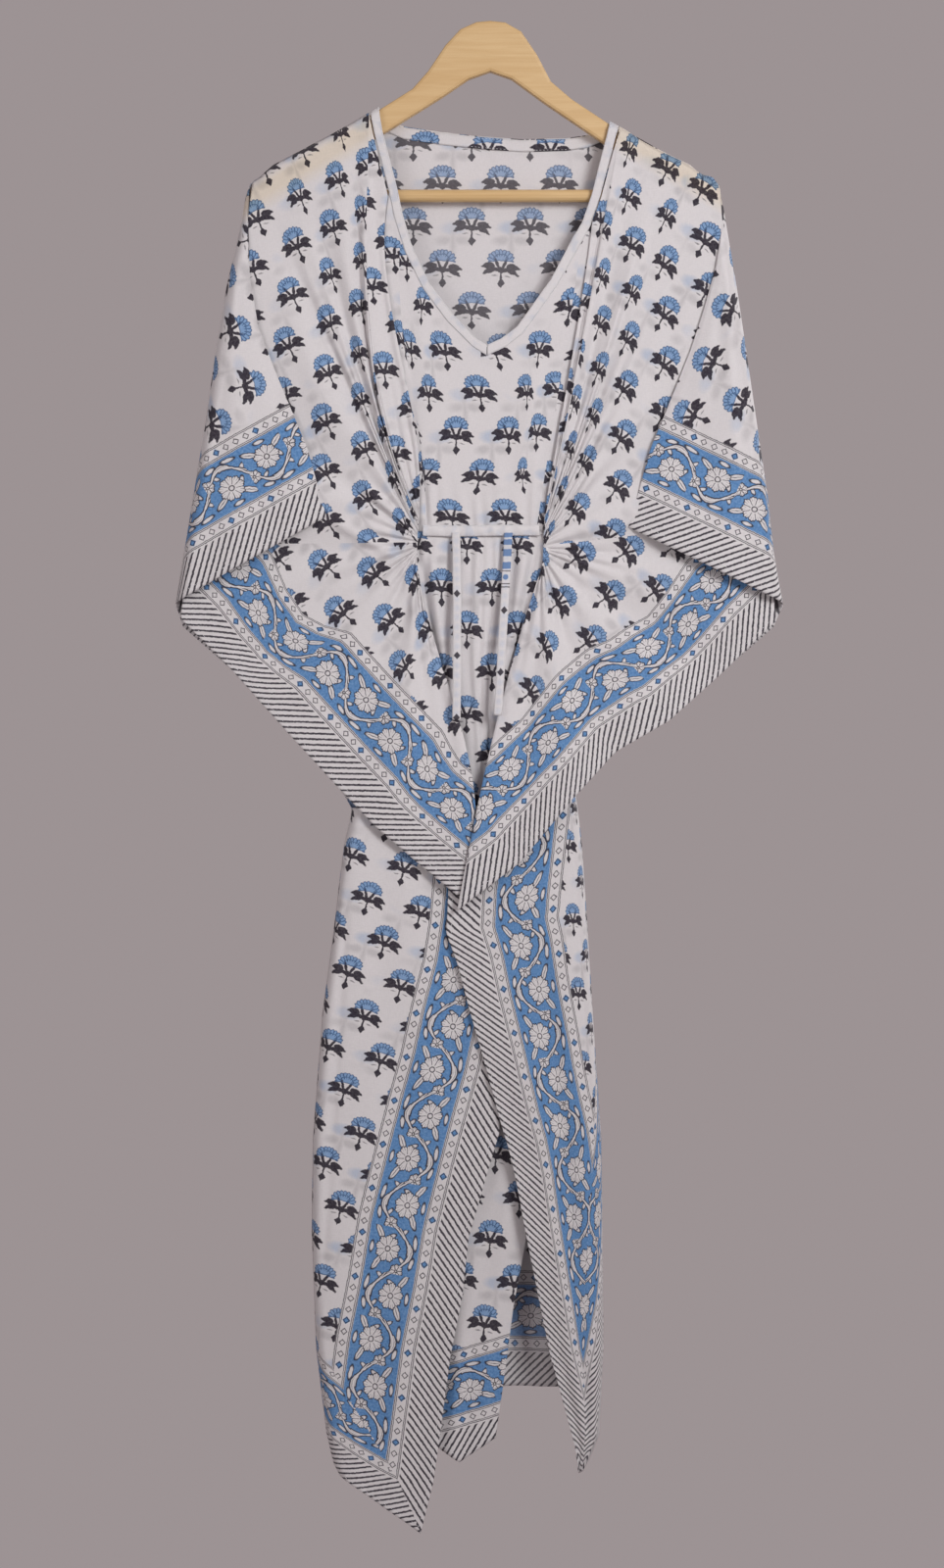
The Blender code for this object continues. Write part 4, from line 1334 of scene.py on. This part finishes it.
SKIRT_CREASES = (
    (42, -494, 16, -640, -6.0, 3.8),
    (31, -505, 8, -640, 3.4, 3.6),
    (23, -495, 2, -620, -2.6, 3.6),
    (-68, -492, -43, -640, -6.0, 3.8),
    (-56, -500, -36, -640, 3.2, 3.6),
    (-38, -490, -33, -600, -2.0, 3.5),
    (-10, -490, -14, -560, 1.4, 3.5),
    (-30, -1130, -52, -1330, -1.8, 7.0),
    (-5, -1160, -20, -1340, 1.6, 7.0),
)
SKIRT_HEM = [(60, -1324), (-33, -1352)]
SKIRT_HEM_WIDTH = table("along width", (0, 102), (1, 102))
SKIRT_SECTORS = ((0, 0.9, 1.8, -519.8), (-4, 0.95, 0.9, -1129.8))
SKIRT_SECTOR_STARTS = (0, 0.5)
cloth = hang("cloth_front_skirt", skirt_place, (80, 240))
places = [field_place(cloth.x, cloth.z, *sector) for sector in SKIRT_SECTORS]
sectors = sector_from(cloth.face_along, SKIRT_SECTOR_STARTS)
lay_print(cloth, places, sectors, [(SKIRT_HEM, SKIRT_HEM_WIDTH)])
finish_piece(cloth.piece, "front_skirt")
hems["front_skirt"] = (skirt_place, -1, [across_at(SKIRT_HEM_LINE)])

# %% [markdown]
# The back panel hangs flat from the hanger to the ground hem and turns forward round both sides. It is one
# piece here, rolled at its edges, where the measured solids need the rolled strips on their own.

# %% Back panel
BACK_UNDER_TOP = 0.6
BACK_RIPPLE = 0.9
BACK_GATHERS = 1.1
BACK_GATHER_REACH = 60
BACK_HEM_LINE = 0.9955
ON_LEFT_ARM = (-106, -119)
ON_RIGHT_ARM = (114, 127)


def back_top(x):
    on_wood = (x <= BACK_NECK["x"][0]) | (x >= BACK_NECK["x"][-1])
    between_arms = np.interp(x, BACK_NECK["x"], BACK_NECK["z"])
    return np.where(on_wood, shoulder_height(x) - BACK_UNDER_TOP, between_arms)


def back_place(across, along):
    level = mix(SIDE_TOP, SIDE_FOOT, along)
    left, right = side("left", level), side("right", level)
    x_at_top = mix(side("left", SIDE_TOP), side("right", SIDE_TOP), across)
    x = mix(left, right, across)
    z = level + (back_top(x_at_top) - SIDE_TOP) * (1 - ease(0, 0.3, along))
    z = z + BACK_HEM_RISE * ease(0, 0.14, across) * ease(1, 0.86, across) * ease(0.85, 1, along)
    y = BACK_DEPTH + read_fold(BACK_FOLDS, across) * ease(-160, -600, z) + ripple(x, z, BACK_RIPPLE)
    waist = np.exp(-(((z - WAIST) / BACK_GATHER_REACH) ** 2)) * np.sin(x / 3.4 + 2 * np.sin(x / 31))
    y = y + BACK_GATHERS * waist * ease(150, 90, abs(x + 8)) + crease(x, z, BACK_CREASES)
    on_wood = np.maximum(ease(*ON_LEFT_ARM, x), ease(*ON_RIGHT_ARM, x))
    y = y * mix(1, rolled(back_top(x) - z, SHOULDER_ROLL), on_wood)
    turned = 1 - ease(ELBOW + 5, ELBOW - 5, level) * ease(FLAP_TOP - 4, FLAP_TOP + 6, level)
    from_side = np.minimum(x - left, right - x)
    y = y * mix(1, rolled(from_side, SIDE_ROLL / 2), turned)
    return x, np.maximum(y, EDGE_MEETING), z


BACK_CREASES = (
    (-110, -110, -75, -440, 3.3, 7.0),
    (-160, -140, -110, -420, -2.4, 9.0),
    (112, -120, 60, -440, 3.3, 7.0),
    (165, -150, 105, -430, -2.4, 9.0),
    (-230, -560, -80, -490, 3, 8.0),
    (215, -565, 66, -492, 3, 8.0),
    (-70, -500, -90, -900, 3.3, 8.0),
    (50, -500, 62, -900, 3.3, 8.0),
    (-20, -520, -30, -1000, 2.4, 9.0),
)
hem_x, _, hem_z = back_place(np.linspace(1, 0, 41), np.ones(41))
LEFT_FREE_SIDE = [(-461, -452), (-291, -556), (-290, -700), (-292, -1500)]
RIGHT_FREE_SIDE = [(439, -454), (269, -558), (268, -700), (270, -1500)]
BACK_SECTOR = (0, 1.04, 10.1, -139.0)
BACK_EDGES = [(edge, FULL_WIDTH) for edge in (list(zip(hem_x, hem_z)), LEFT_FREE_SIDE, RIGHT_FREE_SIDE)]
hems["back_panel"] = (back_place, 1, [across_at(BACK_HEM_LINE)])
cloth = hang("cloth_back_panel", back_place, (180, 260), 1, turned=True)
lay_print(cloth, [field_place(cloth.x, cloth.z, *BACK_SECTOR)], edges=BACK_EDGES)
piece = cloth.piece
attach(piece, "root")
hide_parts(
    "back_panel",
    "side_turn_upper_left",
    "side_turn_upper_right",
    "side_turn_lower_left",
    "side_turn_lower_right",
    "shoulder_turn_left",
    "shoulder_turn_right",
)

# %% [markdown]
# Above each elbow the back panel's side folds forward over the front and makes the sleeve. The border along
# the panel's side becomes its cuff, which is why the carnations lie on their sides there.

# %% Sleeves
SLEEVE_RIPPLE = 0.9
SLEEVE_CREASE_TURNS_IN = 1.7
CUFF_LINE = 0.985


def sleeve_place(rows, column, creases):
    def place(across, along):
        row = along * (len(rows["z"]) - 1)
        side_z, fold_x, fold_z, crease_y, middle_y = read_row(rows, "side_z x z crease middle", row)
        side_x = side(column, side_z)
        x, z = mix(fold_x, side_x, across), mix(fold_z, side_z, across)
        y = mix(crease_y, middle_y, ease(0, 0.45, across))
        y = y - read_fold(SLEEVE_FOLDS, across) * ease(0.1, 0.6, along)
        y = y - ripple(x, z, SLEEVE_RIPPLE) * ease(0.1, 0.3, along) * ease(0, 0.15, across)
        y = y - crease(x, z, creases) + SLEEVE_CREASE_TURNS_IN * ease(0.09, 0, across) ** 2
        return x, np.minimum(y * rolled(abs(side_x - x), SIDE_ROLL), -EDGE_MEETING), z

    return place


LEFT_SLEEVE_CREASES = ((-228, -250, -236, -420, 1.6, 7.0), (-205, -360, -225, -500, -1.2, 8.0))
RIGHT_SLEEVE_CREASES = ((222, -250, 232, -430, 1.6, 7.0), (190, -350, 215, -500, -1.2, 8.0))
for name, rows, column, creases, sector, towards_side in (
    ("sleeve_left", LEFT_SLEEVE, "left", LEFT_SLEEVE_CREASES, (-75, 1.0, -215.3, -341.3), True),
    ("sleeve_right", RIGHT_SLEEVE, "right", RIGHT_SLEEVE_CREASES, (70, 1.0, 195, -318.3), False),
):
    place = sleeve_place(rows, column, creases)
    cuff_x, _, cuff_z = place(np.linspace(0, 1, 9), np.ones(9))
    cuff = list(zip(cuff_x, cuff_z))
    cloth = hang("cloth_" + name, place, (90, 130), turned=True)
    edges = [(cuff if towards_side else cuff[::-1], FULL_WIDTH)]
    lay_print(cloth, [field_place(cloth.x, cloth.z, *sector)], edges=edges)
    finish_piece(cloth.piece, name)
    hems[name] = (place, -1, [across_at(CUFF_LINE)])

# %% [markdown]
# Below the slanting edges the back panel's sides come forward again as two long flaps that cross in the
# middle, the right one on top. Their free edges and hems keep the border, mitred at the corner.

# %% Flaps
FLAP_RIPPLE = 1.2
FLAP_OPENS = 20
FLAP_EDGE_LINE = 0.965
FLAP_HEM_LINE = 0.992


def flap_place(rows, column, depth, creases):
    def place(across, along):
        side_z, edge_x, edge_z = read_row(rows, "side_z x z", along * (len(rows["z"]) - 1))
        side_x = side(column, side_z)
        x, z = mix(side_x, edge_x, across), mix(side_z, edge_z, across)
        y = depth - read_fold(FLAP_FOLDS, across) * ease(0, 0.3, along)
        y = y - ripple(x, z, FLAP_RIPPLE) * ease(0.02, 0.1, along) * ease(0, 0.1, across)
        y = y - crease(x, z, creases)
        below_side = ease(SIDE_FOOT, SIDE_FOOT - FLAP_OPENS, side_z)
        roll = mix(rolled(abs(x - side_x), FLAP_ROLL), 1, 0.5 * below_side)
        return x, np.minimum(y * roll, -EDGE_MEETING), z

    return place


LEFT_FREE_EDGE = [
    (55, -808), (51, -854), (44, -900), (32, -946), (22, -992), (9, -1038), (-3, -1084), (-17, -1140),
    (-26, -1195), (-37, -1250), (-45, -1310), (-53, -1368), (-65, -1416),
]
LEFT_HEM = [(-65, -1416), (-122, -1379), (-175, -1336)]
LEFT_HEM_WIDTH = table("along width", (0, 109), (50, 100), (90, 84), (130, 76))
RIGHT_FREE_EDGE = list(zip(RIGHT_FLAP["x"], RIGHT_FLAP["z"]))[::-1]
RIGHT_FREE_WIDTH = table(
    "along width",
    (40, 62), (90, 65), (155, 71), (223, 77), (254, 80), (307, 85), (378, 90), (450, 97), (521, 105),
)
RIGHT_HEM = [(83, -1360), (100, -1325), (107, -1290)]
RIGHT_HEM_WIDTH = table("along width", (0, 62), (1, 62))
LEFT_FLAP_CREASES = (
    (-131.6, -791, -158, -1203, -1.8, 4.0),
    (-80, -840, -120, -1100, 1.8, 12.0),
    (-40, -900, -60, -1180, -1.4, 12.0),
)
RIGHT_FLAP_CREASES = (
    (-20, -850, 20, -1000, 2.0, 9.0),
    (50, -860, 78, -1150, -1.8, 8.0),
    (24, -1000, 62, -1240, 1.6, 8.0),
)
LEFT_EDGES = [(LEFT_FREE_EDGE, FULL_WIDTH), (LEFT_HEM, LEFT_HEM_WIDTH)]
RIGHT_EDGES = [(RIGHT_FREE_EDGE, RIGHT_FREE_WIDTH), (RIGHT_HEM, RIGHT_HEM_WIDTH)]
LEFT_FLAP_SECTOR = (-15, 0.96, -111.3, -812.4, 0.9)
RIGHT_FLAP_SECTOR = (4, 0.52, 76.4, -832.0, 0.87)
left_place = flap_place(LEFT_FLAP, "left", FLAP_DEPTH_LEFT, LEFT_FLAP_CREASES)
right_place = flap_place(RIGHT_FLAP, "right", FLAP_DEPTH_RIGHT, RIGHT_FLAP_CREASES)
for name, place, edges, sector in (
    ("flap_left", left_place, LEFT_EDGES, LEFT_FLAP_SECTOR),
    ("flap_right", right_place, RIGHT_EDGES, RIGHT_FLAP_SECTOR),
):
    cloth = hang("cloth_" + name, place, (90, 240), turned=True)
    lay_print(cloth, [field_place(cloth.x, cloth.z, *sector)], edges=edges)
    finish_piece(cloth.piece, name)
    free_edge = ((FLAP_EDGE_LINE, 0), (FLAP_EDGE_LINE, 1))
    hems[name] = (place, -1, [free_edge, across_at(FLAP_HEM_LINE)])

# %% [markdown]
# Narrow strips of plain voile finish the neck and make the drawstring's channel. They are cut apart from the
# panels on the real dress, so they are pieces of their own, a hair in front of the print.

# %% Facings and channel
FACING_HEIGHT = 11.0
FACING_WALL = 0.8
FACING_BULGE = 0.25
BACK_FACING_INSIDE = 1.6
FACINGS_APART = 0.02
BACK_FACING_ENDS = (-104.0, 110.0)
CASING_DEPTH = -13.2
CASING_TOP = -474.0
CASING_FOOT = -484.0
CASING_ENDS = (-63.0, 46.0)
CASING_BULGE = 1.2
CASING_PUCKERS = 0.5


def facing_half(first, last):
    def place(across, along):
        x, y, z = neck_point(mix(first, last, along), across)
        return x, y - FACING_BULGE * np.sin(math.pi * np.clip(across, 0, 1)) * ease(0, 3, -y), z

    return place


def back_facing(across, along):
    x = mix(*BACK_FACING_ENDS, along)
    z = back_top(x) - 1 - FACING_HEIGHT * across
    return x, np.full_like(x, BACK_DEPTH - BACK_FACING_INSIDE) + 0.3 * np.sin(x / 9), z


def casing(across, along):
    x = mix(*CASING_ENDS, along)
    puckers = CASING_PUCKERS * np.sin(x / 2.1 + np.sin(x / 13)) * np.sin(math.pi * across)
    bulge = CASING_BULGE * np.sin(math.pi * across)
    return x, CASING_DEPTH - bulge - puckers, mix(CASING_TOP, CASING_FOOT, across) + 0.4 * np.sin(x / 17)


BACK_FACING_SECTOR = (0, 1.12, -2, -107)
left_facing = facing_half(0, NECK_POINT_ROW - FACINGS_APART)
right_facing = facing_half(NECK_POINT_ROW + FACINGS_APART, len(NECK["x"]) - 1)
for name, place, size in (
    ("neck_facing_left", left_facing, (8, 160)),
    ("neck_facing_right", right_facing, (8, 160)),
    ("neck_facing_back", back_facing, (6, 120)),
    ("waist_casing", casing, (10, 180)),
):
    shows_print = name == "neck_facing_back"
    cloth = hang("strip_" + name, place, size, finish=(printed if shows_print else plain,), wall=FACING_WALL)
    if shows_print:
        lay_print(cloth, [field_place(cloth.x, cloth.z, *BACK_FACING_SECTOR)])
    finish_piece(cloth.piece, name)

# %% [markdown]
# Close up, what tells a sewn edge from a cut one is its line of stitches. One stitch is a tiny bead of twenty
# faces, laid along the edge a few millimetres apart and joined with the others of its seam.

# %% Stitches
STITCH_STEP = 3.4
STITCH_LONG = 1.15
STITCH_THICK = 0.24
STITCH_LIFT = 0.62


def resample(path, step):
    runs = np.linalg.norm(np.diff(path, axis=0), axis=1)
    arc = np.concatenate([[0], np.cumsum(runs)])
    at = np.arange(step / 2, arc[-1], step)
    return np.column_stack([np.interp(at, arc, path[:, i]) for i in range(3)])


def sew(name, place, lines, facing=-1):
    """Stitches along lines given as start and end shares of a piece's place function."""
    bm = bmesh.new()
    size = Matrix.Diagonal((STITCH_THICK, STITCH_THICK, STITCH_LONG, 1))
    for (u0, v0), (u1, v1) in lines:
        shares = np.linspace(0, 1, 300)
        path = np.column_stack(place(mix(u0, u1, shares), mix(v0, v1, shares)))
        path[:, 1] += facing * STITCH_LIFT
        points = resample(path, STITCH_STEP)
        for here, after in zip(points[:-1], points[1:]):
            turn = Vector(after - here).to_track_quat("Z", "Y").to_matrix().to_4x4()
            matrix = Matrix.Translation(Vector(here)) @ turn @ size
            bmesh.ops.create_icosphere(bm, subdivisions=1, radius=1, matrix=matrix)
    bmesh.ops.scale(bm, verts=bm.verts, vec=(MM, MM, MM))
    mesh = mesh_from(bm, name)
    mesh.shade_smooth()
    mesh.materials.append(thread)
    made = add_object(name, mesh)
    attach(made, "root")
    print(name, len(mesh.polygons), "faces")


BOTH_EDGES = [((share, 0), (share, 1)) for share in (0.1, 0.9)]
sew("stitches_neck_left", left_facing, BOTH_EDGES)
sew("stitches_neck_right", right_facing, BOTH_EDGES)
sew("stitches_neck_back", back_facing, BOTH_EDGES)
sew("stitches_waist", casing, BOTH_EDGES)
for name, (place, facing, lines) in hems.items():
    sew("stitches_" + name, place, lines, facing)

# %% [markdown]
# The voile was cut flat before it was sewn, and each stretch of it is listed with the flat size of what
# shows. The area is that of its own outline with the folds and gathers pulled out.

# %% What each sheet was cut from
CUTS = (
    ("cloth_front_bodice", (0.20, 0.33), 0.035, "hung"),
    ("cloth_front_left", (0.36, 0.74), 0.130, "gathered"),
    ("cloth_front_right", (0.36, 0.74), 0.123, "gathered"),
    ("cloth_front_skirt", (0.14, 0.87), 0.095, "gathered"),
    ("cloth_back_panel", (0.58, 1.25), 0.480, "hung"),
    ("cloth_sleeve_left", (0.17, 0.40), 0.030, "folded"),
    ("cloth_sleeve_right", (0.17, 0.38), 0.031, "folded"),
    ("cloth_flap_left", (0.20, 0.67), 0.098, "folded"),
    ("cloth_flap_right", (0.16, 0.64), 0.068, "folded"),
    ("strip_neck_facing_left", (0.010, 0.25), 0.0023, "folded"),
    ("strip_neck_facing_right", (0.010, 0.25), 0.0023, "folded"),
    ("strip_neck_facing_back", (0.011, 0.22), 0.0024, "folded"),
    ("strip_waist_casing", (0.011, 0.11), 0.0012, "folded"),
)
for name, flat, cut_area, held in CUTS:
    shows = sum(face.area for face in pieces[name].data.polygons)
    print(name, "shows", round(shows, 4), "square metres and was cut from", cut_area)

# %% Close the scene
size = {
    "cad": [list(corner) for corner in cad_box],
    "visual": [list(corner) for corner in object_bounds()],
}
print("built", [round((b - a) * 1000, 1) for a, b in zip(*size["visual"])], "mm")
